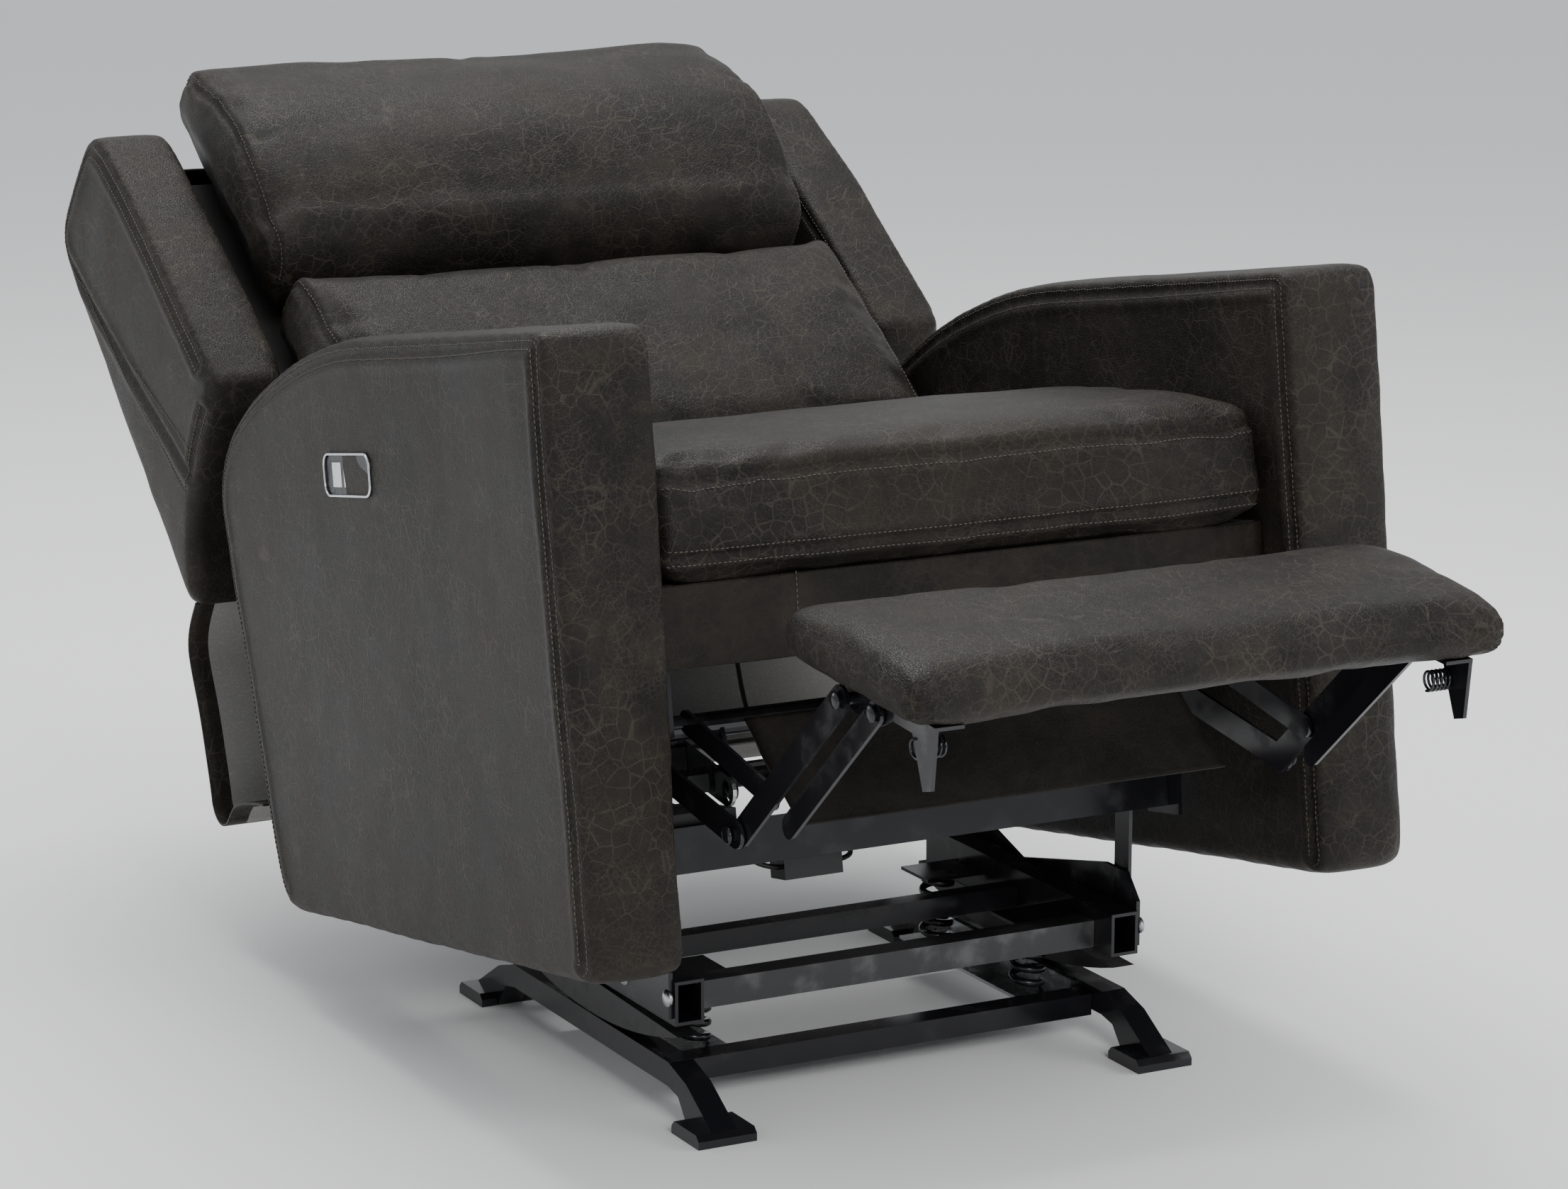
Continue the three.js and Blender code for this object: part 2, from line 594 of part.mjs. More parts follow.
// A small padded flap that closes the gap between the footrest and the seat.
function makeMidFlap(body) {
  const along = padHeading + Math.PI;
  const corner = (out, up) => {
    const p = polar(polar(FLAP_AXIS, along, out), along + Math.PI / 2, up);
    return [p.y, p.z];
  };
  const low = -FLAP_THICKNESS / 2;
  const high = FLAP_THICKNESS / 2;
  const halfWidth = BRACKET_LAYER - LINK - 26 - 4;
  add(body, 'mid_flap', across(outline([
    corner(0, low), corner(FLAP_LENGTH - 5, low), corner(FLAP_LENGTH, low / 2),
    corner(FLAP_LENGTH, high / 2), corner(FLAP_LENGTH - 5, high), corner(0, high),
    corner(-4, high / 2), corner(-4, low / 2),
  ]), -halfWidth, halfWidth, 4), leather);
}

// ---------------------------------------------------------------- seat frame

const armInner = OVERALL_WIDTH / 2 - ARM_WIDTH;
const seatHalfWidth = armInner - SOFT_GAP;
const plateOuter = SIDE_PLATE_X + PLATE;

function sidePlate(side) {
  const deckZ = SEAT_BOTTOM_Z - SOFT_GAP - DECK_HEIGHT;
  const shape = outline([
    [UPPER_AXIS.y - 16, UPPER_AXIS.z - 10], [UPPER_AXIS.y - 16, deckZ - FIT_GAP], [60, deckZ - FIT_GAP],
    [RECLINE_AXIS.y - 22, RECLINE_AXIS.z + 4], [RECLINE_AXIS.y - 10, RECLINE_AXIS.z + 14],
    [RECLINE_AXIS.y + 10, RECLINE_AXIS.z + 14], [RECLINE_AXIS.y + 16, RECLINE_AXIS.z - 6],
    [TILT_AXIS.y + 50, TILT_AXIS.z + 90], [TILT_AXIS.y + 24, TILT_AXIS.z - 12],
    [TILT_AXIS.y, TILT_AXIS.z - 24],
    [TILT_AXIS.y - 24, TILT_AXIS.z - 12], [-40, TORQUE_AXIS.z - 40], [TORQUE_AXIS.y + 60, TORQUE_AXIS.z - 62],
    [TORQUE_AXIS.y + 30, 148], [TORQUE_AXIS.y - 22, 148], [TORQUE_AXIS.y - 30, TORQUE_AXIS.z - 12],
  ]);
  const bore = (at, radius) => rod(
    side * (SIDE_PLATE_X - 1), side * (plateOuter + 1), at, radius + PIN_CLEARANCE,
    radius > PIN_RADIUS ? 16 : 12,
  );
  return join(
    cut(
      onSide(side, shape, SIDE_PLATE_X, plateOuter),
      bore(TILT_AXIS, TILT_TUBE_RADIUS),
      bore(TORQUE_AXIS, PIN_RADIUS),
      bore(UPPER_AXIS, PIN_RADIUS),
    ),
    rod(side * (SIDE_PLATE_X - 8), side * (SIDE_PLATE_X + 1), RECLINE_AXIS, PIN_RADIUS + 2),
  );
}

const PAN = { bottom: 156, height: 40, depth: 44, wall: 3, inset: 46 };

// An angle across the front of the mechanism, between the side plates.
function crossPan() {
  const y = TORQUE_AXIS.y - 7;
  const end = SIDE_PLATE_X - FIT_GAP;
  return join(
    box(-end, end, y, y + PAN.wall, PAN.bottom, PAN.bottom + PAN.height),
    box(-end + PAN.inset, end - PAN.inset, y, y + PAN.depth, PAN.bottom, PAN.bottom + PAN.wall),
  );
}

// The padded arm: flat front and top, a wide round over the rear, and a back edge that leans.
function armShape() {
  const shape = new THREE.Shape();
  const corner = 22;
  const shoulder = { y: ARM_REAR_Y - 374, z: ARM_TOP_Z };
  const heel = { y: ARM_REAR_Y - 74, z: ARM_BOTTOM_Z + 40 };
  shape.moveTo(ARM_FRONT_Y + 9 + corner, ARM_BOTTOM_Z);
  shape.quadraticCurveTo(ARM_FRONT_Y + 9, ARM_BOTTOM_Z, ARM_FRONT_Y + 8, ARM_BOTTOM_Z + corner);
  shape.lineTo(ARM_FRONT_Y, ARM_TOP_Z - corner);
  shape.quadraticCurveTo(ARM_FRONT_Y, ARM_TOP_Z, ARM_FRONT_Y + corner, ARM_TOP_Z);
  shape.lineTo(shoulder.y, shoulder.z);
  shape.bezierCurveTo(
    shoulder.y + 130, ARM_TOP_Z, ARM_REAR_Y - 110, ARM_TOP_Z - 38, ARM_REAR_Y - 45, ARM_TOP_Z - 78,
  );
  shape.quadraticCurveTo(ARM_REAR_Y, ARM_TOP_Z - 108, ARM_REAR_Y, ARM_TOP_Z - 155);
  shape.lineTo(heel.y, heel.z);
  shape.quadraticCurveTo(heel.y - 8, ARM_BOTTOM_Z + 2, heel.y - 42, ARM_BOTTOM_Z + 2);
  shape.closePath();
  return shape;
}

function makeArms(body) {
  for (const [word, side] of SIDES) {
    const padded = onSide(side, armShape(), armInner, OVERALL_WIDTH / 2, ARM_EDGE, 5);
    if (word === 'right') {
      add(body, 'arm_right', padded, leather);
      continue;
    }
    const pocketDepth = BEZEL.depth + FIT_GAP;
    add(body, 'arm_left', cut(padded, box(
      -OVERALL_WIDTH / 2 - 1, -OVERALL_WIDTH / 2 + pocketDepth,
      BEZEL.y - BEZEL.length / 2 - FIT_GAP, BEZEL.y + BEZEL.length / 2 + FIT_GAP,
      BEZEL.z - BEZEL.height / 2 - FIT_GAP, BEZEL.z + BEZEL.height / 2 + FIT_GAP,
    )), leather);
  }
}

// The control panel: a plate with two button wells, let in flush with the left arm's outer face.
function makeControls(body) {
  const faceX = -OVERALL_WIDTH / 2;
  const buttonY = (i) => BEZEL.y + 14 + (i - 0.5) * BUTTON.spacing;
  const halfLength = BUTTON.length / 2;
  const halfHeight = BUTTON.height / 2;
  const well = (i) => box(
    faceX - 1, faceX + 7, buttonY(i) - halfLength - 0.5, buttonY(i) + halfLength + 0.5,
    BEZEL.z - halfHeight - 0.5, BEZEL.z + halfHeight + 0.5,
  );
  const r = 12;
  const plate = new THREE.Shape();
  const [a, b] = [BEZEL.length / 2, BEZEL.height / 2];
  plate.absarc(BEZEL.y + a - r, BEZEL.z + b - r, r, 0, Math.PI / 2);
  plate.absarc(BEZEL.y - a + r, BEZEL.z + b - r, r, Math.PI / 2, Math.PI);
  plate.absarc(BEZEL.y - a + r, BEZEL.z - b + r, r, Math.PI, 1.5 * Math.PI);
  plate.absarc(BEZEL.y + a - r, BEZEL.z - b + r, r, 1.5 * Math.PI, 2 * Math.PI);
  plate.closePath();
  add(body, 'control_bezel', cut(
    across(plate, faceX, faceX + BEZEL.depth, 0, 3), well(0), well(1),
  ), darkMetal);
  ['open', 'close'].forEach((word, i) => {
    add(body, `button_${word}`, box(
      faceX, faceX + 5, buttonY(i) - halfLength, buttonY(i) + halfLength,
      BEZEL.z - halfHeight, BEZEL.z + halfHeight,
    ), chrome);
  });
}

function seatCushion() {
  const shape = new THREE.Shape();
  const top = SEAT_BOTTOM_Z + SEAT_THICKNESS;
  const rearTopZ = top - SEAT_REAR_DROP;
  const rearTop = Math.PI - Math.asin((rearTopZ - RECLINE_AXIS.z) / SEAT_REAR_CLEARANCE);
  const rearFoot = Math.PI - Math.asin((SEAT_BOTTOM_Z - RECLINE_AXIS.z) / SEAT_REAR_CLEARANCE);
  shape.moveTo(SEAT_FRONT_Y - 5, SEAT_BOTTOM_Z + 22);
  shape.lineTo(SEAT_FRONT_Y, top - 20);
  shape.quadraticCurveTo(SEAT_FRONT_Y + 2, top + 4, SEAT_FRONT_Y + 26, top + 4);
  const rearTopY = RECLINE_AXIS.y + SEAT_REAR_CLEARANCE * Math.cos(rearTop);
  shape.quadraticCurveTo(-150, top + 2 * SEAT_CROWN - 8, rearTopY, rearTopZ);
  shape.absarc(RECLINE_AXIS.y, RECLINE_AXIS.z, SEAT_REAR_CLEARANCE, rearTop, rearFoot, false);
  shape.lineTo(SEAT_FRONT_Y + 18, SEAT_BOTTOM_Z);
  shape.quadraticCurveTo(SEAT_FRONT_Y - 5, SEAT_BOTTOM_Z, SEAT_FRONT_Y - 5, SEAT_BOTTOM_Z + 22);
  return across(shape, -seatHalfWidth, seatHalfWidth, 6);
}

// The leather panel between the seat cushion's front and the mechanism; it hangs between the links.
function frontFascia() {
  const y = SEAT_FRONT_Y + 37;
  const halfWidth = BRACKET_LAYER - LINK - SOFT_GAP;
  return across(sheetShape([
    [y - 4, SEAT_BOTTOM_Z - 3], [y, SEAT_BOTTOM_Z - 60], [y, SEAT_BOTTOM_Z - 106],
  ], 6), -halfWidth, halfWidth);
}

const deckTop = SEAT_BOTTOM_Z - SOFT_GAP;

// The deck runs from arm to arm: the arms are fixed to its ends.
function seatDeck() {
  const halfWidth = armInner - FIT_GAP;
  const rear = RECLINE_AXIS.y - SEAT_REAR_CLEARANCE - 4;
  return box(-halfWidth, halfWidth, SEAT_FRONT_Y + 46, rear, deckTop - DECK_HEIGHT, deckTop);
}

// Motor gearbox and motor, on the cross pan.
const MOTOR_X = 86 - SIDE_PLATE_X;
const MOTOR_FRONT_Y = TORQUE_AXIS.y + 5;
const GEARBOX = { halfWidth: 34, length: 76, height: 46 };
const MOTOR_CAN = { radius: 26, length: 92 };

function actuator() {
  const bottom = PAN.bottom + PAN.wall + 1;
  const can = new THREE.CylinderGeometry(MOTOR_CAN.radius, MOTOR_CAN.radius, MOTOR_CAN.length, 16);
  const gearboxRear = MOTOR_FRONT_Y + GEARBOX.length;
  can.translate(MOTOR_X, gearboxRear + MOTOR_CAN.length / 2 - 2, bottom + GEARBOX.height / 2);
  const gearbox = box(
    MOTOR_X - GEARBOX.halfWidth, MOTOR_X + GEARBOX.halfWidth, MOTOR_FRONT_Y, gearboxRear,
    bottom, bottom + GEARBOX.height,
  );
  return join(gearbox, can);
}

const TRACK = { z: 222, height: 16, halfWidth: 10, length: 230 };
const slideFront = crankPin.y + 72;

function makeDrive(body) {
  add(body, 'actuator', actuator(), blackPlastic);
  add(body, 'actuator_track', box(MOTOR_X - TRACK.halfWidth, MOTOR_X + TRACK.halfWidth,
    MOTOR_FRONT_Y, MOTOR_FRONT_Y + TRACK.length, TRACK.z, TRACK.z + TRACK.height), zinc);
}

// The slide block rides on the track and pulls the crank through the drive link.
function makeSlide(body) {
  const z = TRACK.z + TRACK.height + FIT_GAP;
  const linkOuter = CRANK_X - PLATE - FIT_GAP;
  const rear = { y: slideFront + 14, z: z + 12 };
  const block = box(MOTOR_X - 14, linkOuter - LINK - FIT_GAP, slideFront, slideFront + 30, z, z + 20);
  add(body, 'slide_block', block, blackPlastic);
  const slot = linkShape(
    { y: crankPin.y, z: crankPin.z - 5 }, { y: crankPin.y, z: crankPin.z + 4 }, PIN_RADIUS + PIN_CLEARANCE,
  );
  const link = across(linkShape(crankPin, rear, LINK_RADIUS + 2), linkOuter - LINK, linkOuter);
  add(body, 'drive_link', cut(link, across(slot, linkOuter - LINK - 1, linkOuter + 1)), zinc);
}

const RETURN_SPRING = { x: SIDE_PLATE_X - 54, y0: -250, y1: -128, z: 172, radius: 8 };

// The closed outer shape of the extension spring.
function returnSpring() {
  const { x, y0, y1, z, radius } = RETURN_SPRING;
  return new THREE.CylinderGeometry(radius, radius, y1 - y0, 12).translate(x, (y0 + y1) / 2, z);
}

// The lead from the motor, through the in-line connector, up into the seat deck.
const LEAD_ROUTE = [
  [MOTOR_X + GEARBOX.halfWidth + FIT_GAP, -206, 176], [-150, -206, 176], [-141, -206, 170],
  [-130, -206, 158], [-116, -205, 148], [-98, -202, 142], [-78, -200, 140], [-52, -196, 139],
  [-26, -188, 139], [-6, -170, 140], [8, -140, 142], [16, -104, 147], [18, -66, 156], [14, -30, 174],
  [6, 0, 206], [0, 22, 250], [-2, 34, 300], [-2, 38, deckTop - DECK_HEIGHT - FIT_GAP],
];
const CONNECTOR = { x0: -94, x1: -36, half: 9 };

function makeLead(body) {
  add(body, 'motor_lead', tube(LEAD_ROUTE, CABLE_RADIUS, 8, 64), cableSkin);
  const curve = new THREE.CatmullRomCurve3(LEAD_ROUTE.map((p) => new THREE.Vector3(...p)));
  const middle = new THREE.Vector3(-65, -198, 139.5);
  const housing = box(CONNECTOR.x0, CONNECTOR.x1, middle.y - 14, middle.y + 14, middle.z - CONNECTOR.half,
    middle.z + CONNECTOR.half);
  const nearHousing = (p) => p.x > CONNECTOR.x0 - 14 && p.x < CONNECTOR.x1 + 14 && p.y < -180;
  const inside = curve.getPoints(160).filter(nearHousing);
  const bore = tube(inside.map((p) => [p.x, p.y, p.z]), CABLE_RADIUS + FIT_GAP, 8, 16);
  add(body, 'inline_connector', cut(housing, bore), blackPlastic);
}

function makeSeatFrame(body) {
  for (const [word, side] of SIDES) {
    add(body, `side_plate_${word}`, sidePlate(side), blackSteel);
  }
  add(body, 'cross_pan', crossPan(), blackSteel);
  makeArms(body);
  makeControls(body);
  add(body, 'seat_deck', seatDeck(), wood);
  add(body, 'seat_cushion', seatCushion(), leather);
  add(body, 'front_fascia', frontFascia(), leather);
  makeDrive(body);
  makeSlide(body);
  add(body, 'return_spring', returnSpring(), zinc);
  makeLead(body);
}

// ---------------------------------------------------------------- back, drawn upright about the recline axis

const wingOuter = OVERALL_WIDTH / 2;
const wingInner = wingOuter - WING_WIDTH;
const backHalfWidth = armInner - 2 * SOFT_GAP;   // the frame and cushions pass between the arms

// A wing's lower edge is hollowed to clear the arm's round rear corner.
function wingShape() {
  const shape = new THREE.Shape();
  shape.moveTo(WING_FRONT, 220);
  shape.quadraticCurveTo(WING_FRONT - 12, 400, WING_FRONT, BACK_HEIGHT - 60);
  shape.quadraticCurveTo(WING_FRONT + 6, BACK_HEIGHT - 10, WING_FRONT + 46, BACK_HEIGHT - 8);
  shape.lineTo(BACK_THICKNESS_TOP - 40, BACK_HEIGHT + 6);
  shape.quadraticCurveTo(BACK_THICKNESS_TOP, BACK_HEIGHT + 4, BACK_THICKNESS_TOP + 4, BACK_HEIGHT - 34);
  shape.lineTo(BACK_THICKNESS_FOOT, BACK_FOOT);
  shape.lineTo(BACK_THICKNESS_FOOT - 18, BACK_FOOT - 20);
  shape.quadraticCurveTo(126, 212, -20, 208);
  shape.closePath();
  return shape;
}

function backFrame() {
  const panel = box(-backHalfWidth, backHalfWidth, 3, 60, 24, BACK_HEIGHT - 50);
  const hinge = { y: 0, z: 0 };
  const ear = linkShape(hinge, { y: 34, z: 70 }, 15, [pinHole(hinge, PIN_RADIUS + 2)]);
  const ears = SIDES.map(([, side]) => onSide(side, ear, SIDE_PLATE_X - 2 - PLATE, SIDE_PLATE_X - 2));
  return join(panel, ...ears);
}

function backCushion() {
  const shape = new THREE.Shape();
  const front = -BACK_CUSHION_DEPTH;
  shape.moveTo(front + 12, 24);
  shape.quadraticCurveTo(front, 28, front + 2, 60);
  shape.quadraticCurveTo(front - 8, BACK_CUSHION_HEIGHT / 2, front + 4, BACK_CUSHION_HEIGHT - 50);
  shape.quadraticCurveTo(front + 6, BACK_CUSHION_HEIGHT, front + 50, BACK_CUSHION_HEIGHT);
  shape.lineTo(-14, BACK_CUSHION_HEIGHT);
  shape.lineTo(-3, BACK_CUSHION_HEIGHT - 12);
  shape.lineTo(-3, 30);
  shape.closePath();
  return across(shape, -backHalfWidth + 1, backHalfWidth - 1, 10);
}

function outsideBack() {
  const skin = 10;
  return across(sheetShape([
    [4, BACK_HEIGHT - 22], [BACK_THICKNESS_TOP - 34, BACK_HEIGHT - 12],
    [BACK_THICKNESS_TOP - 8, BACK_HEIGHT - 40],
    [BACK_THICKNESS_TOP + 14, BACK_HEIGHT - 195], [BACK_THICKNESS_FOOT - 6, BACK_FOOT + 6],
  ], skin), SOFT_GAP - wingInner, wingInner - SOFT_GAP);
}

const REAR_FLAP_THICKNESS = 5;
const FLAP_TURN = { y: -56, z: -190, radius: 26 };

// The lower back panel: it hangs from the foot of the back and turns forward at the bottom.
function rearFlap() {
  const hang = [
    [2, -15], [21, -38], [24, -56], [16, -78], [-4, -116], [-22, -166],
    [FLAP_TURN.y + FLAP_TURN.radius, FLAP_TURN.z],
  ];
  const turn = Array.from({ length: 7 }, (_, i) => {
    const angle = (Math.PI * (i + 1)) / 8;
    const { y, z, radius } = FLAP_TURN;
    return [y + radius * Math.cos(angle), z - radius * Math.sin(angle)];
  });
  const forward = [[-96, -186], [-136, -175], [-170, -169]];
  const halfWidth = wingOuter - 8;
  return across(sheetShape([...hang, ...turn, ...forward], REAR_FLAP_THICKNESS), -halfWidth, halfWidth);
}

function headrest() {
  const shape = new THREE.Shape();
  const front = -HEADREST_DEPTH;
  shape.moveTo(-16, HEADREST_BOTTOM);
  shape.lineTo(front + 46, HEADREST_BOTTOM);
  shape.quadraticCurveTo(front, HEADREST_BOTTOM + 2, front, HEADREST_BOTTOM + 52);
  shape.quadraticCurveTo(front - 2 * HEADREST_CROWN, 500, front + 10, HEADREST_TOP - 46);
  shape.quadraticCurveTo(front + 18, HEADREST_TOP, front + 54, HEADREST_TOP);
  shape.lineTo(-26, HEADREST_TOP);
  shape.quadraticCurveTo(-7, HEADREST_TOP, -7, HEADREST_TOP - 20);
  shape.lineTo(-7, HEADREST_BOTTOM + 12);
  shape.closePath();
  return across(shape, -backHalfWidth + 5, backHalfWidth - 5, 14);
}

function makeBack(back) {
  for (const [word, side] of SIDES) {
    add(back, `wing_${word}`, onSide(side, wingShape(), wingInner, wingOuter, 12, 5), leather);
  }
  add(back, 'back_frame', backFrame(), wood);
  add(back, 'back_cushion', backCushion(), leather);
  add(back, 'outside_back', outsideBack(), leather);
  add(back, 'headrest', headrest(), leather);
  add(back, 'headrest_plate', box(-150, 150, -6, -3.5, 400, 580), blackSteel);
}

// ---------------------------------------------------------------- assembly

const chair = new THREE.Group();

// Seat frame coordinates are those of the upright chair, turned about the tilt tube.
const tilt = new THREE.Group();
tilt.position.set(0, TILT_AXIS.y, TILT_AXIS.z);
tilt.rotation.x = -degrees(BODY_TILT);
const body = new THREE.Group();
body.position.set(0, -TILT_AXIS.y, -TILT_AXIS.z);
tilt.add(body);

const back = new THREE.Group();
back.position.set(0, RECLINE_AXIS.y, RECLINE_AXIS.z);
back.rotation.x = -degrees(BACK_LEAN);
body.add(back);

// The flap hangs plumb from the back's foot, whatever the back's angle.
const flap = new THREE.Group();
flap.position.set(0, BACK_THICKNESS_FOOT - 12, BACK_FOOT);
flap.rotation.x = degrees(BACK_LEAN + BODY_TILT);
back.add(flap);

makeBase(chair);
makeRocker(chair);
makeLiftLinks(chair);
makeSeatFrame(body);
makeRearLinks(body);
makeValance(body);
makeFrontLinks(body);
makeUpperLinks(body);
makeFootrest(body);
makeParallelLinks(body);
makeMidFlap(body);
makeBack(back);
add(flap, 'rear_flap', rearFlap(), greyCloth);
chair.add(tilt);

// Put the origin under the middle of the bounding box.
chair.updateMatrixWorld(true);
const bounds = new THREE.Box3().setFromObject(chair, true);
const centre = bounds.getCenter(new THREE.Vector3());
const assembly = new THREE.Group();
assembly.add(chair);
chair.position.set(0, -centre.y, -bounds.min.z);
assembly.updateMatrixWorld(true);

// Where each joint turns, with its travel from the reclined pose, in the part's frame.
const place = (group, at) => group.localToWorld(new THREE.Vector3(0, at.y, at.z)).toArray();
assembly.userData.joints = {
  rock: { at: place(chair, { y: ROCKER_Y, z: camCentreZ }), travel: [-ROCK_TRAVEL, ROCK_TRAVEL] },
  seat_tilt: { at: place(chair, TILT_AXIS), travel: [0, BODY_TILT] },
  lift_swing: { at: place(chair, LIFT_AXIS), travel: [-64, 0] },
  back_recline: { at: place(body, RECLINE_AXIS), travel: [0, RECLINE_TRAVEL] },
  headrest_tilt: { at: place(back, HEADREST_AXIS), travel: [0, HEADREST_TRAVEL] },
  footrest_extend: { at: place(body, TORQUE_AXIS), travel: [0, THREE.MathUtils.radToDeg(REAR_LINK_TURN)] },
  front_link_swing: { at: place(body, KNEE), ratio: -2 },
  upper_link_swing: { at: place(body, UPPER_AXIS), ratio: UPPER_LINK_TURN / REAR_LINK_TURN },
  footrest_swing: { at: place(body, FOOTREST_PIN), ratio: FOOTREST_TURN / REAR_LINK_TURN + 1 },
  parallel_link_swing: { at: place(body, PARALLEL_PIN), ratio: -FOOTREST_TURN / REAR_LINK_TURN - 1 },
  mid_flap_swing: {
    at: place(body, FLAP_AXIS),
    ratio: -(FOOTREST_TURN + degrees(FLAP_TUCK)) / REAR_LINK_TURN,
  },
  drive_slide: {
    ratio: (turned(crankPin, TORQUE_AXIS, REAR_LINK_TURN).y - crankPin.y) / REAR_LINK_TURN / 1000,
    axis: new THREE.Vector3(0, 1, 0).transformDirection(body.matrixWorld).toArray(),
  },
};

// The middle of each floor pad, as distances from the origin.
assembly.userData.pads = {
  x: RAIL_X,
  front: chair.position.y + FOOT_FRONT_Y + FOOT_LENGTH / 2,
  rear: chair.position.y + FOOT_REAR_Y - FOOT_LENGTH / 2,
};

export default assembly;
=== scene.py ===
"""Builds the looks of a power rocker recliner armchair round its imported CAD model."""

import json
import math

import bmesh
import bpy
import numpy as np
from mathutils import Euler, Matrix, Vector, noise
from mathutils.bvhtree import BVHTree


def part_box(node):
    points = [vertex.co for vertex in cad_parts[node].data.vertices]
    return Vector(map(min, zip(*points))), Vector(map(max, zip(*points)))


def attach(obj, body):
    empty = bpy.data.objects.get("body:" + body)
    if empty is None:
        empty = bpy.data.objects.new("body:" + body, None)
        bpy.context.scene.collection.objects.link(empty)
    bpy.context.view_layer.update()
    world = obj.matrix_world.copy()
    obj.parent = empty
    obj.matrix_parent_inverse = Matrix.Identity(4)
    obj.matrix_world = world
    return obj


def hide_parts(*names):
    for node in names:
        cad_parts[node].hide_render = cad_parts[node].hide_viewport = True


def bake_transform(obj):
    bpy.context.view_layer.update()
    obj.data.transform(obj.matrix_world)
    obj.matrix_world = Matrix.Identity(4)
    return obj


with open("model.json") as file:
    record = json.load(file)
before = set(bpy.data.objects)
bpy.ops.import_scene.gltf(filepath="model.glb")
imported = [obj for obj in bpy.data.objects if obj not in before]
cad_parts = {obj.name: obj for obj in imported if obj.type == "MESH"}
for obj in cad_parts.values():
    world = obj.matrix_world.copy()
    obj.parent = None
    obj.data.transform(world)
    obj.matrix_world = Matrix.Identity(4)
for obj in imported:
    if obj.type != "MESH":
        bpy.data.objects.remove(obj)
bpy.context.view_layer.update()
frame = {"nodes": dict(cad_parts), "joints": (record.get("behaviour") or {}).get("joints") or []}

bl_info = {
    "name": "Rocker Recliner",
    "version": (1, 0, 0),
    "blender": (4, 5, 0),
    "location": "3D View > Sidebar > Recliner",
    "description": "Leather, stitching and hardware for a power rocker recliner armchair",
    "category": "Add Mesh",
}

NODES = frame["nodes"]
JOINTS = {joint["name"]: joint for joint in frame["joints"]}

MM = 0.001
TILT = math.radians(9.5)                 # the seat frame leans back by this when reclined
LEAN = math.radians(47.4)                # the back's lean on the seat frame, reclined
TILT_AXIS = Vector((0, 0.105, 0.190))    # centre of the tilt tube in the upright chair
RECLINE_AXIS = Vector((0, 0.183, 0.410))

# The part's frame is the upright chair's, shifted along Y: the joint says by how much.
SHIFT = Vector(JOINTS["seat_tilt"]["pos_m"]) - TILT_AXIS


# ------------------------------------------------------------------ places

def seat_matrix():
    """From upright chair coordinates to the part's frame."""
    turn = Matrix.Rotation(-TILT, 4, "X")
    return Matrix.Translation(SHIFT + TILT_AXIS) @ turn @ Matrix.Translation(-TILT_AXIS)


def back_matrix():
    """From the back's own frame, along and behind its hinge, to the part's frame."""
    return seat_matrix() @ Matrix.Translation(RECLINE_AXIS) @ Matrix.Rotation(-LEAN, 4, "X")


def pad_matrix():
    """From the footrest's frame, its pin at the origin, to the part's frame."""
    pin = Vector(JOINTS["footrest_swing"]["pos_m"])
    return Matrix.Translation(pin) @ Matrix.Rotation(math.radians(14) - TILT, 4, "X")


SEAT = seat_matrix()
BACK = back_matrix()
PAD = pad_matrix()


# ------------------------------------------------------------------ mesh helpers

def new_object(name, bm, smooth=True):
    """Makes a mesh object from a bmesh, its faces turned outwards."""
    bmesh.ops.remove_doubles(bm, verts=bm.verts, dist=1e-6)
    bmesh.ops.recalc_face_normals(bm, faces=bm.faces)
    mesh = bpy.data.meshes.new(name)
    bm.to_mesh(mesh)
    bm.free()
    if smooth:
        mesh.shade_smooth()
    made = bpy.data.objects.new(name, mesh)
    bpy.context.scene.collection.objects.link(made)
    return made


def evaluated(source):
    """Turns an object's modifiers into its plain mesh."""
    bpy.context.view_layer.update()
    graph = bpy.context.evaluated_depsgraph_get()
    mesh = bpy.data.meshes.new_from_object(source.evaluated_get(graph))
    source.modifiers.clear()
    source.data = mesh
    return source


def smooth_outline(points, rounds=2):
    """Cuts the corners of a closed outline, which rounds it."""
    for _ in range(rounds):
        cut = []
        for a, b in zip(points, points[1:] + points[:1]):
            cut.append((a[0] * 0.75 + b[0] * 0.25, a[1] * 0.75 + b[1] * 0.25))
            cut.append((a[0] * 0.25 + b[0] * 0.75, a[1] * 0.25 + b[1] * 0.75))
        points = cut
    return points


def resampled(points, step):
    """The same closed outline with points an even step apart."""
    lengths = [math.dist(a, b) for a, b in zip(points, points[1:] + points[:1])]
    count = max(12, round(sum(lengths) / step))
    out = []
    reach = 0.0
    i = 0
    for k in range(count):
        target = sum(lengths) * k / count
        while reach + lengths[i] < target:
            reach += lengths[i]
            i += 1
        a, b = points[i], points[(i + 1) % len(points)]
        t = (target - reach) / lengths[i]
        out.append((a[0] + (b[0] - a[0]) * t, a[1] + (b[1] - a[1]) * t))
    return out


def inset(points, distance):
    """Moves a closed outline inwards by a distance."""
    area = sum(a[0] * b[1] - b[0] * a[1] for a, b in zip(points, points[1:] + points[:1]))
    turn = 1 if area > 0 else -1
    out = []
    for i, here in enumerate(points):
        before, after = points[i - 1], points[(i + 1) % len(points)]
        along = Vector((after[0] - before[0], after[1] - before[1])).normalized()
        out.append((here[0] - along.y * distance * turn, here[1] + along.x * distance * turn))
    return out


RIM_STEPS = 5      # faces round a padded end's rim
CAP_STEP = 20      # mm between the rings across a padded end


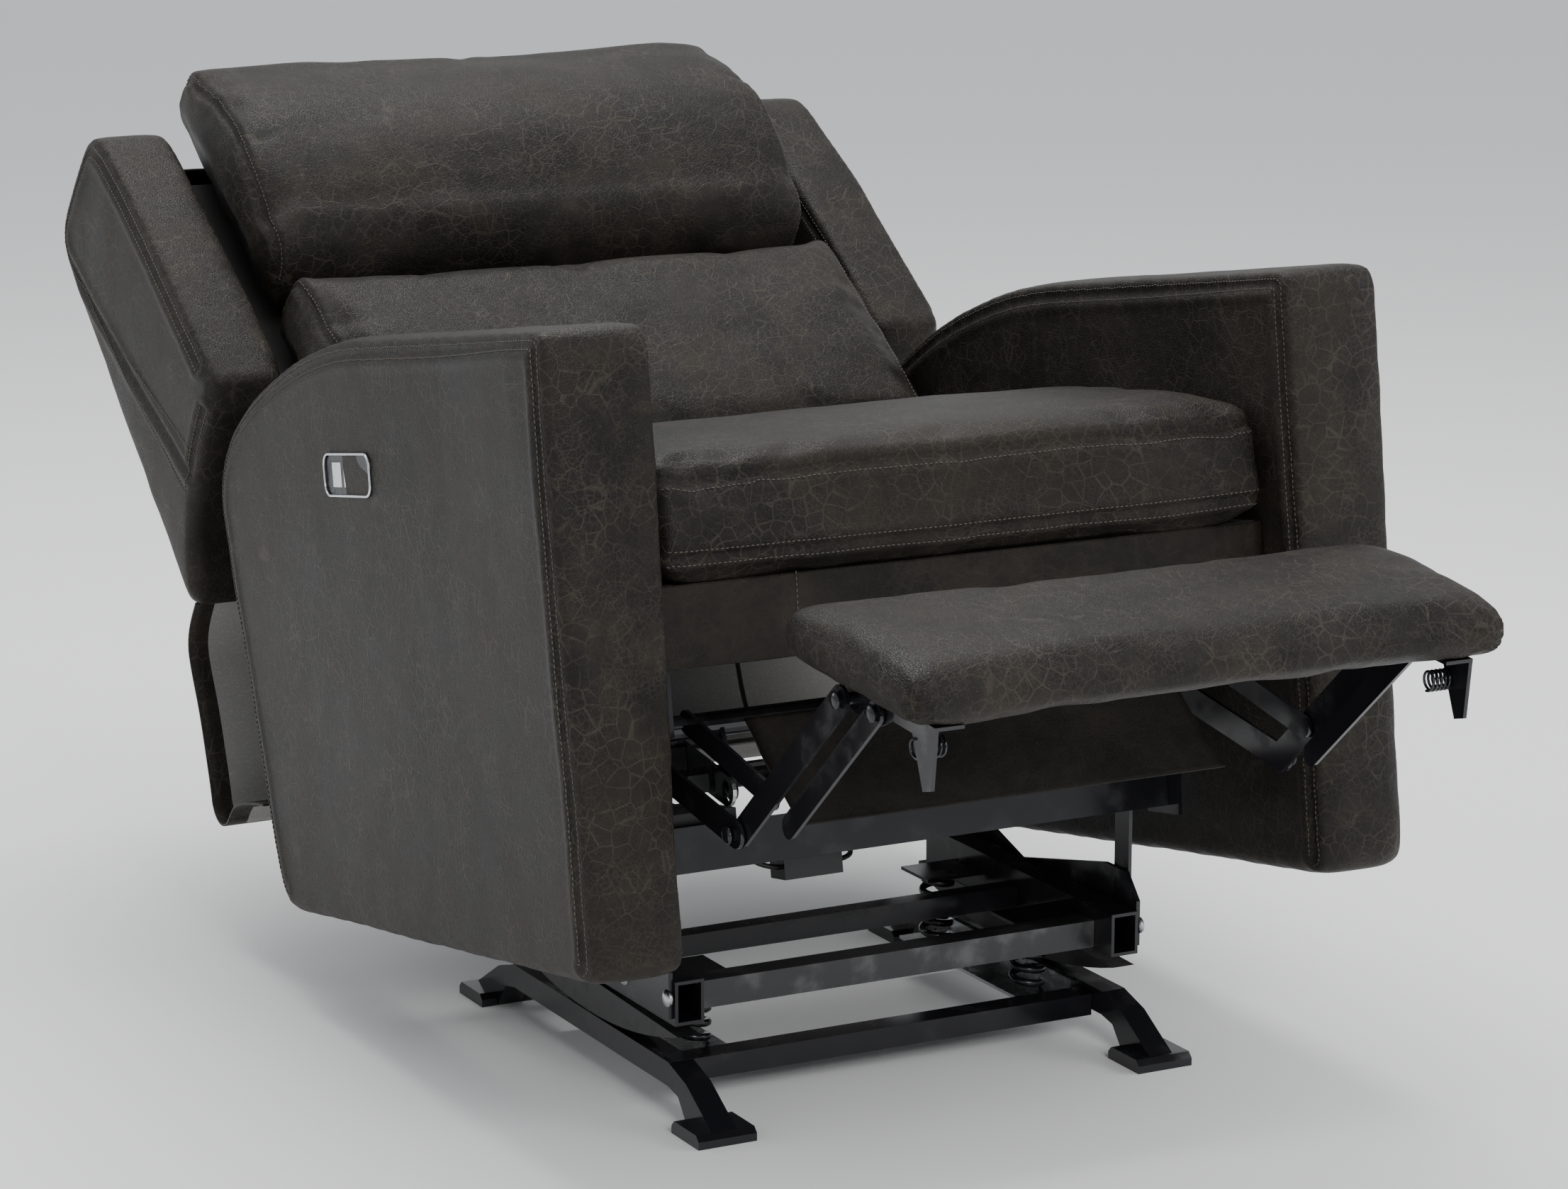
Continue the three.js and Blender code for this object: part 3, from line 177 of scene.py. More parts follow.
def padded_slab(name, points, x0, x1, edge, crown, place, step=9):
    """A soft body: an outline in (y, z) mm, drawn across from x0 to x1 with rounded, crowned ends.

    edge is the rounding of each end's rim and crown how far the middle of an end stands out.
    """
    ring = resampled(points, step)
    bm = bmesh.new()
    span = x1 - x0
    layers = []
    for k in range(RIM_STEPS + 1):
        angle = math.pi / 2 * k / RIM_STEPS
        layers.append((x0 + edge * (1 - math.sin(angle)), edge * (1 - math.cos(angle))))
    rows = max(2, round((span - 2 * edge) / step))
    loops = layers[::-1]
    loops += [(x0 + edge + (span - 2 * edge) * (k + 1) / rows, 0.0) for k in range(rows - 1)]
    loops += [(x0 + x1 - x, d) for x, d in layers]
    verts = []
    for x, d in loops:
        outline = inset(ring, d)
        verts.append([bm.verts.new((x, y, z)) for y, z in outline])
    for a, b in zip(verts, verts[1:]):
        for i in range(len(ring)):
            j = (i + 1) % len(ring)
            bm.faces.new((a[i], a[j], b[j], b[i]))
    centre = (sum(y for y, _ in ring) / len(ring), sum(z for _, z in ring) / len(ring))
    for side, rim in ((-1, verts[0]), (1, verts[-1])):
        previous = rim
        depth = max(math.hypot(v.co.y - centre[0], v.co.z - centre[1]) for v in rim)
        turns = max(3, round(depth / CAP_STEP))
        for k in range(1, turns):
            share = k / turns
            bulge = crown * (1 - (1 - share) ** 2)
            here = [
                bm.verts.new((
                    v.co.x + side * bulge,
                    v.co.y + (centre[0] - v.co.y) * share,
                    v.co.z + (centre[1] - v.co.z) * share,
                ))
                for v in rim
            ]
            for i in range(len(rim)):
                j = (i + 1) % len(rim)
                bm.faces.new((previous[i], previous[j], here[j], here[i]))
            previous = here
        hub = bm.verts.new((rim[0].co.x + side * crown, *centre))
        for i in range(len(previous)):
            bm.faces.new((previous[i], previous[(i + 1) % len(previous)], hub))
    bm.transform(place @ Matrix.Scale(MM, 4))
    return new_object(name, bm)


def even_mesh(pad):
    """Rebuilds a soft piece's surface from even quads, without poles."""
    remesh = pad.modifiers.new("Remesh", "REMESH")
    remesh.mode = "VOXEL"
    remesh.voxel_size = chair_size().voxel
    evaluated(pad)


def inflate(pad, pressure, cap):
    """Swells a pad with a short cloth simulation, and keeps each point within cap of where it was."""
    even_mesh(pad)
    before = [v.co.copy() for v in pad.data.vertices]
    cloth = pad.modifiers.new("Cloth", "CLOTH")
    settings = cloth.settings
    settings.quality = 4
    settings.mass = 0.4
    settings.tension_stiffness = 28
    settings.compression_stiffness = 28
    settings.bending_stiffness = 3
    settings.use_pressure = True
    settings.uniform_pressure_force = pressure
    settings.effector_weights.gravity = 0
    cloth.point_cache.frame_start = 1
    cloth.point_cache.frame_end = 20
    scene = bpy.context.scene
    for step in range(1, 21):
        scene.frame_set(step)
    evaluated(pad)
    scene.frame_set(1)
    for vertex, old in zip(pad.data.vertices, before):
        change = vertex.co - old
        if change.length > cap:
            vertex.co = old + change * (cap / change.length)
    finish_surface(pad)


def finish_surface(pad, rounds=1):
    """Smooths a soft piece a little and divides it once."""
    smooth = pad.modifiers.new("Smooth", "SMOOTH")
    smooth.factor = 0.5
    smooth.iterations = 4
    if rounds:
        divide = pad.modifiers.new("Divide", "SUBSURF")
        divide.levels = rounds
        divide.render_levels = rounds
    evaluated(pad)
    pad.data.shade_smooth()


def wrinkle(pad, height, size, where=None, seed=0.0):
    """Pushes a soft surface in and out in soft folds."""
    mesh = pad.data
    mesh.update()
    normals = [v.normal.copy() for v in mesh.vertices]
    for vertex, normal in zip(mesh.vertices, normals):
        at = vertex.co
        weight = 1.0 if where is None else where(at)
        if weight <= 0:
            continue
        fold = noise.fractal(Vector((at.x / size, at.y / size + seed, at.z / size)), 1.0, 2.0, 3)
        vertex.co += normal * fold * height * weight


def arrays(mesh):
    """A mesh's points and normals as arrays."""
    count = len(mesh.vertices)
    points = np.empty(count * 3)
    mesh.vertices.foreach_get("co", points)
    normals = np.empty(count * 3)
    mesh.vertices.foreach_get("normal", normals)
    return points.reshape(-1, 3), normals.reshape(-1, 3)


def put_points(mesh, points):
    mesh.vertices.foreach_set("co", points.ravel())
    mesh.update()


def pull_seam(pad, line, depth, width, roll=0.0):
    """Draws a soft surface in along a line, and raises it by roll just beside the line."""
    mesh = pad.data
    mesh.update()
    points, normals = arrays(mesh)
    path = np.array([tuple(p) for p in dense(line, width / 3)])
    reach = width * 5
    near = np.all((points > path.min(axis=0) - reach) & (points < path.max(axis=0) + reach), axis=1)
    index = np.nonzero(near)[0]
    here = points[index]
    nearest = np.full(len(index), 1e9)
    for start in range(0, len(path), 64):
        part = path[start:start + 64]
        gap = np.linalg.norm(here[:, None, :] - part[None, :, :], axis=2)
        nearest = np.minimum(nearest, gap.min(axis=1))
    share = nearest / width
    move = -depth * np.exp(-(share ** 2)) + roll * np.exp(-((share - 2.4) ** 2) / 1.2)
    points[index] = here + normals[index] * move[:, None]
    put_points(mesh, points)


# ------------------------------------------------------------------ shader groups

def node_group(name, kind, inputs, outputs):
    """A node group: its tree, its input node and its output node. Each socket is (label, type, default)."""
    tree = bpy.data.node_groups.new(name, kind)
    for direction, sockets in (("INPUT", inputs), ("OUTPUT", outputs)):
        for label, socket_type, *default in sockets:
            socket = tree.interface.new_socket(label, in_out=direction, socket_type=socket_type)
            if default:
                socket.default_value = default[0]
    return tree, tree.nodes.new("NodeGroupInput"), tree.nodes.new("NodeGroupOutput")


EFFECT_OUTPUTS = (
    ("Color", "NodeSocketColor"), ("Roughness", "NodeSocketFloat"), ("Height", "NodeSocketFloat"))


def link(tree, source, target):
    tree.links.new(source, target)


def noise_node(tree, vector, scale, detail=4.0, rough=0.55, distortion=0.0):
    node = tree.nodes.new("ShaderNodeTexNoise")
    node.inputs["Scale"].default_value = scale
    node.inputs["Detail"].default_value = detail
    node.inputs["Roughness"].default_value = rough
    node.inputs["Distortion"].default_value = distortion
    link(tree, vector, node.inputs["Vector"])
    return node.outputs["Fac"]


def ramp(tree, value, low, high, out_low=0.0, out_high=1.0):
    node = tree.nodes.new("ShaderNodeMapRange")
    node.interpolation_type = "SMOOTHSTEP"
    for label, number in zip(("From Min", "From Max", "To Min", "To Max"), (low, high, out_low, out_high)):
        node.inputs[label].default_value = number
    link(tree, value, node.inputs["Value"])
    return node.outputs["Result"]


def maths(tree, kind, a, b=None, clamp=False):
    node = tree.nodes.new("ShaderNodeMath")
    node.operation = kind
    node.use_clamp = clamp
    for slot, value in zip(node.inputs, (a, b)):
        if value is None:
            continue
        if isinstance(value, (int, float)):
            slot.default_value = value
        else:
            link(tree, value, slot)
    return node.outputs["Value"]


def mix(tree, factor, a, b, kind="MIX"):
    node = tree.nodes.new("ShaderNodeMix")
    node.data_type = "RGBA"
    node.blend_type = kind
    for slot, value in ((node.inputs[0], factor), (node.inputs[6], a), (node.inputs[7], b)):
        if isinstance(value, (int, float)):
            slot.default_value = value
        elif isinstance(value, tuple):
            slot.default_value = value
        else:
            link(tree, value, slot)
    return node.outputs[2]


def hide_group():
    """Distressed hide: clouded colour, pale crackle veins and a pebbled grain."""
    tree, source, sink = node_group("Distressed hide", "ShaderNodeTree", [
        ("Vector", "NodeSocketVector"),
        ("Dark", "NodeSocketColor", (0.012, 0.0105, 0.010, 1)),
        ("Mid", "NodeSocketColor", (0.030, 0.026, 0.022, 1)),
        ("Vein", "NodeSocketColor", (0.12, 0.095, 0.070, 1)),
        ("Vein Amount", "NodeSocketFloat", 0.5),
        ("Grain Size", "NodeSocketFloat", 1.0),
    ], EFFECT_OUTPUTS)
    vector = source.outputs["Vector"]
    warp = tree.nodes.new("ShaderNodeTexNoise")
    warp.inputs["Scale"].default_value = 9.0
    link(tree, vector, warp.inputs["Vector"])
    push = tree.nodes.new("ShaderNodeVectorMath")
    push.operation = "MULTIPLY_ADD"
    link(tree, warp.outputs["Color"], push.inputs[0])
    push.inputs[1].default_value = (0.03, 0.03, 0.03)
    link(tree, vector, push.inputs[2])
    warped = push.outputs["Vector"]

    clouds = ramp(tree, noise_node(tree, vector, 7.0, 6.0, 0.6, 0.6), 0.36, 0.68)
    mottle = ramp(tree, noise_node(tree, vector, 34.0, 5.0, 0.65, 0.3), 0.38, 0.70)
    tone = maths(tree, "ADD", maths(tree, "MULTIPLY", clouds, 0.62), maths(tree, "MULTIPLY", mottle, 0.38))
    base = mix(tree, tone, source.outputs["Dark"], source.outputs["Mid"])

    def cracks(scale, width, seed_noise):
        cells = tree.nodes.new("ShaderNodeTexVoronoi")
        cells.feature = "DISTANCE_TO_EDGE"
        cells.inputs["Scale"].default_value = scale
        link(tree, warped, cells.inputs["Vector"])
        line = ramp(tree, cells.outputs["Distance"], 0.0, width, 1.0, 0.0)
        broken = ramp(tree, noise_node(tree, vector, seed_noise, 4.0, 0.7), 0.36, 0.62)
        return maths(tree, "MULTIPLY", line, broken)

    wide = cracks(64.0, 0.06, 14.0)
    fine = cracks(170.0, 0.12, 30.0)
    veins = maths(tree, "ADD", wide, maths(tree, "MULTIPLY", fine, 0.6), clamp=True)
    shown = maths(tree, "MULTIPLY", veins, source.outputs["Vein Amount"], clamp=True)
    color = mix(tree, shown, base, source.outputs["Vein"])
    link(tree, color, sink.inputs["Color"])

    pebble = tree.nodes.new("ShaderNodeTexVoronoi")
    pebble.feature = "DISTANCE_TO_EDGE"
    size = maths(tree, "DIVIDE", 430.0, source.outputs["Grain Size"])
    link(tree, size, pebble.inputs["Scale"])
    link(tree, warped, pebble.inputs["Vector"])
    grain = ramp(tree, pebble.outputs["Distance"], 0.0, 0.16)
    soft = noise_node(tree, vector, 60.0, 4.0, 0.6)
    height = maths(tree, "ADD", maths(tree, "MULTIPLY", grain, 0.5), maths(tree, "MULTIPLY", soft, 0.5))
    height = maths(tree, "SUBTRACT", height, maths(tree, "MULTIPLY", veins, 0.35))
    link(tree, height, sink.inputs["Height"])
    rough = maths(tree, "ADD", 0.44, maths(tree, "MULTIPLY", tone, 0.10))
    rough = maths(tree, "ADD", rough, maths(tree, "MULTIPLY", grain, -0.05))
    link(tree, rough, sink.inputs["Roughness"])
    return tree


def worn_group():
    """Handled hard surfaces: faint smudges that shift colour and roughness."""
    tree, source, sink = node_group("Handled surface", "ShaderNodeTree", [
        ("Vector", "NodeSocketVector"),
        ("Color", "NodeSocketColor", (0.02, 0.02, 0.02, 1)),
        ("Worn Color", "NodeSocketColor", (0.1, 0.1, 0.1, 1)),
        ("Wear", "NodeSocketFloat", 0.4),
        ("Smooth", "NodeSocketFloat", 0.25),
        ("Scale", "NodeSocketFloat", 40.0),
    ], EFFECT_OUTPUTS)
    vector = source.outputs["Vector"]
    smudge = tree.nodes.new("ShaderNodeTexNoise")
    smudge.inputs["Detail"].default_value = 5.0
    link(tree, source.outputs["Scale"], smudge.inputs["Scale"])
    link(tree, vector, smudge.inputs["Vector"])
    patch = ramp(tree, smudge.outputs["Fac"], 0.48, 0.72)
    worn = maths(tree, "MULTIPLY", patch, source.outputs["Wear"], clamp=True)
    link(tree, mix(tree, worn, source.outputs["Color"], source.outputs["Worn Color"]), sink.inputs["Color"])
    link(tree, maths(tree, "ADD", source.outputs["Smooth"], maths(tree, "MULTIPLY", patch, 0.18)),
         sink.inputs["Roughness"])
    link(tree, noise_node(tree, vector, 900.0, 3.0), sink.inputs["Height"])
    return tree


GROUPS = {}
MATERIALS = {}


def surface(name, group, values, bump, distance=0.0004, **sockets):
    """A material whose shader is fed by one group. sockets are plain values on the shader."""
    made = bpy.data.materials.new(name)
    made.use_nodes = True
    tree = made.node_tree
    shader = tree.nodes["Principled BSDF"]
    place = tree.nodes.new("ShaderNodeTexCoord")
    effect = tree.nodes.new("ShaderNodeGroup")
    effect.node_tree = GROUPS[group]
    link(tree, place.outputs["Object"], effect.inputs["Vector"])
    for label, value in values.items():
        effect.inputs[label].default_value = value
    link(tree, effect.outputs["Color"], shader.inputs["Base Color"])
    link(tree, effect.outputs["Roughness"], shader.inputs["Roughness"])
    raised = tree.nodes.new("ShaderNodeBump")
    raised.inputs["Strength"].default_value = bump
    raised.inputs["Distance"].default_value = distance
    link(tree, effect.outputs["Height"], raised.inputs["Height"])
    link(tree, raised.outputs["Normal"], shader.inputs["Normal"])
    for label, value in sockets.items():
        shader.inputs[label.replace("_", " ")].default_value = value
    MATERIALS[name] = made
    return made


def make_materials():
    look = bpy.context.scene.recliner_look
    GROUPS["hide"] = hide_group()
    GROUPS["worn"] = worn_group()
    dark, mid, vein = tuple(look.dark), tuple(look.mid), tuple(look.vein)
    surface("Hide", "hide", {"Dark": dark, "Mid": mid, "Vein": vein, "Vein Amount": look.veins},
            0.7, 0.0008, Specular_IOR_Level=0.16)
    surface("Hide inside", "hide", {"Dark": dark, "Mid": mid, "Vein": vein, "Vein Amount": 0.12},
            0.5, 0.0006, Specular_IOR_Level=0.12)
    hard("Thread", tuple(look.thread)[:3], (0.05, 0.045, 0.04), 0.5, 0.6, 300.0, 0.3)
    for row in HARD_SURFACES:
        hard(*row)


def hard(name, color, worn, wear, smooth, scale, bump, metallic=0.0, distance=0.0004):
    """A material of the handled surface group."""
    surface(name, "worn", {"Color": (*color, 1), "Worn Color": (*worn, 1), "Wear": wear, "Smooth": smooth,
                           "Scale": scale}, bump, distance, Metallic=metallic)


# name, colour, worn colour, wear, roughness, pattern scale, bump, metallic, bump depth
HARD_SURFACES = (
    ("Gloss enamel", (0.008, 0.008, 0.010), (0.020, 0.020, 0.022), 0.5, 0.16, 30.0, 0.05),
    ("Bare bar", (0.060, 0.060, 0.062), (0.16, 0.16, 0.16), 0.9, 0.34, 26.0, 0.12, 0.75),
    ("Zinc", (0.42, 0.43, 0.44), (0.6, 0.6, 0.6), 0.5, 0.24, 50.0, 0.1, 1.0),
    ("Moulded black", (0.010, 0.010, 0.011), (0.03, 0.03, 0.03), 0.4, 0.38, 60.0, 0.15),
    ("Panel metal", (0.035, 0.035, 0.04), (0.07, 0.07, 0.075), 0.5, 0.26, 90.0, 0.05, 0.9),
    ("Bright rim", (0.62, 0.64, 0.66), (0.5, 0.5, 0.52), 0.3, 0.12, 90.0, 0.02, 1.0),
    ("Deck cover", (0.010, 0.009, 0.008), (0.016, 0.014, 0.012), 0.9, 0.6, 22.0, 0.3),
    ("Lining cloth", (0.26, 0.25, 0.24), (0.36, 0.35, 0.34), 0.8, 0.8, 520.0, 0.5, 0.0, 0.0005),
    ("Cable skin", (0.008, 0.008, 0.008), (0.02, 0.02, 0.02), 0.4, 0.42, 120.0, 0.1),
)


NODE_LOOKS = {
    "Gloss enamel": (
        "base_rail", "front_floor_bar", "rocker_spring", "cam_channel", "riser_plate", "rear_bar",
        "tilt_tube", "lift_link", "side_plate", "cross_pan", "rear_link", "torque_tube", "front_link",
        "upper_link", "footrest_bracket", "parallel_link", "headrest_plate"),
    "Bare bar": ("middle_bar",),
    "Zinc": ("spring_seat", "actuator_track", "drive_link", "return_spring"),
    "Moulded black": ("rocker_cam", "actuator", "slide_block", "inline_connector"),
    "Panel metal": ("control_bezel",),
    "Bright rim": ("button_",),
    "Deck cover": ("seat_deck", "back_frame"),
    "Cable skin": ("motor_lead",),
}


def dress(piece, material):
    piece.data.materials.clear()
    piece.data.materials.append(MATERIALS[material])
    return piece


# ------------------------------------------------------------------ stitching

def finish_tree(tree, source, sink, geometry):
    """Ends a Geometry Nodes tree in Realize Instances and Set Material."""
    real = tree.nodes.new("GeometryNodeRealizeInstances")
    paint = tree.nodes.new("GeometryNodeSetMaterial")
    link(tree, geometry, real.inputs["Geometry"])
    link(tree, real.outputs["Geometry"], paint.inputs["Geometry"])
    link(tree, source.outputs["Material"], paint.inputs["Material"])
    link(tree, paint.outputs["Geometry"], sink.inputs["Geometry"])
    return tree


def maker_group(name, *numbers):
    """A Geometry Nodes group with the named numbers and a material as inputs."""
    inputs = [("Geometry", "NodeSocketGeometry"), *((label, "NodeSocketFloat") for label in numbers),
              ("Material", "NodeSocketMaterial")]
    return node_group(name, "GeometryNodeTree", inputs, [("Geometry", "NodeSocketGeometry")])


def stitch_tree():
    """A Geometry Nodes tree that lays thread stitches along a curve."""
    tree, source, sink = maker_group("Stitches", "Spacing", "Length", "Thickness")
    line = tree.nodes.new("GeometryNodeMeshToCurve")
    spread = tree.nodes.new("GeometryNodeCurveToPoints")
    spread.mode = "LENGTH"
    stitch = tree.nodes.new("GeometryNodeMeshUVSphere")
    stitch.inputs["Segments"].default_value = 5
    stitch.inputs["Rings"].default_value = 4
    stitch.inputs["Radius"].default_value = 1.0
    size = tree.nodes.new("ShaderNodeCombineXYZ")
    half = maths(tree, "MULTIPLY", source.outputs["Length"], 0.5)
    put = tree.nodes.new("GeometryNodeInstanceOnPoints")
    link(tree, source.outputs["Geometry"], line.inputs["Mesh"])
    link(tree, line.outputs["Curve"], spread.inputs["Curve"])
    link(tree, source.outputs["Spacing"], spread.inputs["Length"])
    link(tree, spread.outputs["Points"], put.inputs["Points"])
    link(tree, spread.outputs["Rotation"], put.inputs["Rotation"])
    link(tree, stitch.outputs["Mesh"], put.inputs["Instance"])
    link(tree, source.outputs["Thickness"], size.inputs["X"])
    link(tree, source.outputs["Thickness"], size.inputs["Y"])
    link(tree, half, size.inputs["Z"])
    link(tree, size.outputs["Vector"], put.inputs["Scale"])
    return finish_tree(tree, source, sink, put.outputs["Instances"])


def coil_tree():
    """A Geometry Nodes tree that winds a wire into a coil along Z."""
    tree, source, sink = maker_group("Coil", "Turns", "Radius", "Height", "Wire")
    spiral = tree.nodes.new("GeometryNodeCurveSpiral")
    spiral.inputs["Resolution"].default_value = 18
    wire = tree.nodes.new("GeometryNodeCurvePrimitiveCircle")
    wire.inputs["Resolution"].default_value = 8
    sweep = tree.nodes.new("GeometryNodeCurveToMesh")
    sweep.inputs["Fill Caps"].default_value = True
    link(tree, source.outputs["Turns"], spiral.inputs["Rotations"])
    link(tree, source.outputs["Radius"], spiral.inputs["Start Radius"])
    link(tree, source.outputs["Radius"], spiral.inputs["End Radius"])
    link(tree, source.outputs["Height"], spiral.inputs["Height"])
    link(tree, source.outputs["Wire"], wire.inputs["Radius"])
    link(tree, spiral.outputs["Curve"], sweep.inputs["Curve"])
    link(tree, wire.outputs["Curve"], sweep.inputs["Profile Curve"])
    return finish_tree(tree, source, sink, sweep.outputs["Mesh"])


def grown(piece, group, values):
    """Runs a Geometry Nodes tree on an object with the given inputs, and keeps the plain mesh."""
    maker = piece.modifiers.new("Maker", "NODES")
    maker.node_group = group
    for item in group.interface.items_tree:
        if item.item_type == "SOCKET" and item.in_out == "INPUT" and item.name in values:
            maker[item.identifier] = values[item.name]
    return evaluated(piece)


def coil(name, turns, radius, height, wire, place, material):
    """A wound spring from the place's origin along its Z axis."""
    if "coil" not in GROUPS:
        GROUPS["coil"] = coil_tree()
    piece = bpy.data.objects.new(name, bpy.data.meshes.new(name))
    bpy.context.scene.collection.objects.link(piece)
    grown(piece, GROUPS["coil"], {"Turns": float(turns), "Radius": radius, "Height": height, "Wire": wire,
                                  "Material": MATERIALS[material]})
    piece.data.transform(place)
    return piece


def on_surface(target, points, lift):
    """Drops points onto the nearest place on a mesh, lifted off it a little."""
    mesh = target.data
    tree = BVHTree.FromPolygons([v.co for v in mesh.vertices], [tuple(f.vertices) for f in mesh.polygons])
    out = []
    for point in points:
        place, normal, _, _ = tree.find_nearest(point)
        out.append(place + normal * lift)
    return out


def dense(points, step=0.004):
    """A line's points, no more than a step apart."""
    out = [points[0]]
    for a, b in zip(points, points[1:]):
        count = max(1, math.ceil((b - a).length / step))
        out += [a.lerp(b, (k + 1) / count) for k in range(count)]
    return out


def stitch_lines(name, lines, body):
    """Thread along one or more lines, as one plain mesh that rides on a body."""
    bm = bmesh.new()
    for line in lines:
        verts = [bm.verts.new(p) for p in line]
        for a, b in zip(verts, verts[1:]):
            bm.edges.new((a, b))
    mesh = bpy.data.meshes.new(name)
    bm.to_mesh(mesh)
    bm.free()
    piece = bpy.data.objects.new(name, mesh)
    bpy.context.scene.collection.objects.link(piece)
    look = bpy.context.scene.recliner_look
    if "stitches" not in GROUPS:
        GROUPS["stitches"] = stitch_tree()
    grown(piece, GROUPS["stitches"], {
        "Spacing": look.stitch_spacing, "Length": look.stitch_length,
        "Thickness": look.stitch_thickness, "Material": MATERIALS["Thread"]})
    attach(piece, body)
    return piece


def moved(line, *offset):
    """A line shifted by an offset in metres."""
    return [p + Vector(offset) for p in line]


def seam(target, name, line, body, rows, depth=0.0016, width=0.0032, roll=0.0006):
    """A sewn seam: the surface drawn in along a line, then rows of stitches laid on it."""
    pull_seam(target, on_surface(target, dense(line), 0.0), depth, width, roll)
    lift = bpy.context.scene.recliner_look.stitch_thickness * 0.5
    return stitch_lines(name, [on_surface(target, dense(row), lift) for row in rows], body)


def rounded_seam(target, name, outline, side, x, place, body, gap=4.0, depth=0.0026, keep=None):
    """A seam with a row of stitches beside it, along an end of a padded piece."""
    ring = [p for p in inset(outline, 2) if keep is None or keep(*p)]
    line = [place @ (Vector((side * x, *p)) * MM) for p in ring]
    row = moved(line, -side * gap * MM, 0, 0)
    return seam(target, name, line, body, [row], depth=depth, width=0.004, roll=0.001)


# ------------------------------------------------------------------ settings

def chair_size():
    return bpy.context.scene.recliner_size


class ReclinerSize(bpy.types.PropertyGroup):
    """Sizes of the upholstery."""

    voxel: bpy.props.FloatProperty(
        name="Voxel", description="Detail of the swelled cushions", default=0.007, min=0.005, max=0.012,
        subtype="DISTANCE", unit="LENGTH")
    swell: bpy.props.FloatProperty(
        name="Swell", description="Pressure inside the cushions", default=4.0, min=0.5, max=10.0)
    most_swell: bpy.props.FloatProperty(
        name="Most swell", description="How far a cushion's surface may move", default=0.010,
        min=0.002, max=0.030, subtype="DISTANCE", unit="LENGTH")


class ReclinerLook(bpy.types.PropertyGroup):
    """Colours and thread."""

    dark: bpy.props.FloatVectorProperty(
        name="Dark", description="Darkest tone of the hide", size=4, subtype="COLOR", min=0, max=1,
        default=(0.0085, 0.0075, 0.0066, 1))
    mid: bpy.props.FloatVectorProperty(
        name="Mid", description="Middle tone of the hide", size=4, subtype="COLOR", min=0, max=1,
        default=(0.025, 0.0205, 0.0155, 1))
    vein: bpy.props.FloatVectorProperty(
        name="Vein", description="Colour of the pale cracks", size=4, subtype="COLOR", min=0, max=1,
        default=(0.058, 0.049, 0.037, 1))
    veins: bpy.props.FloatProperty(
        name="Veins", description="How strongly the pale cracks show", default=0.55, min=0, max=1)
    thread: bpy.props.FloatVectorProperty(
        name="Thread", description="Colour of the sewing thread", size=4, subtype="COLOR", min=0, max=1,
        default=(0.075, 0.066, 0.055, 1))
    stitch_spacing: bpy.props.FloatProperty(
        name="Stitch spacing", description="From one stitch to the next", default=0.0048, min=0.002,
        max=0.02, subtype="DISTANCE", unit="LENGTH")
    stitch_length: bpy.props.FloatProperty(
        name="Stitch length", description="Length of one stitch", default=0.0034, min=0.001,
        max=0.02, subtype="DISTANCE", unit="LENGTH")
    stitch_thickness: bpy.props.FloatProperty(
        name="Stitch thickness", description="Half the thickness of the thread", default=0.0006,
        min=0.0002, max=0.003, subtype="DISTANCE", unit="LENGTH")


# ------------------------------------------------------------------ arms

ARM_INNER = 309
ARM_OUTER = 400
ARM_FRONT = -463
ARM_TOP = 635


def between(a, b, t):
    """The point a share t of the way from a to b."""
    return (a[0] + (b[0] - a[0]) * t, a[1] + (b[1] - a[1]) * t)


def curve_points(start, *pieces, steps=10):
    """An outline from lines (one point), quadratic (two) and cubic (three) curves."""
    points = [start]
    for piece in pieces:
        hold = [points[-1], *piece]
        for k in range(1, steps + 1 if len(piece) > 1 else 2):
            t = k / steps if len(piece) > 1 else 1.0
            level = hold
            while len(level) > 1:
                level = [between(a, b, t) for a, b in zip(level, level[1:])]
            points.append(level[0])
    return points


def arm_outline():
    """An arm's side view, in upright chair coordinates."""
    return curve_points(
        (ARM_FRONT + 31, 101), ((ARM_FRONT + 9, 101), (ARM_FRONT + 8, 123)), ((ARM_FRONT, ARM_TOP - 22),),
        ((ARM_FRONT, ARM_TOP), (ARM_FRONT + 22, ARM_TOP)), ((-60, ARM_TOP),),
        ((70, ARM_TOP), (204, 597), (269, 557)), ((314, 527), (314, 480)), ((240, 141),),
        ((232, 103), (198, 103)),
    )[:-1] + [(198, 103)]


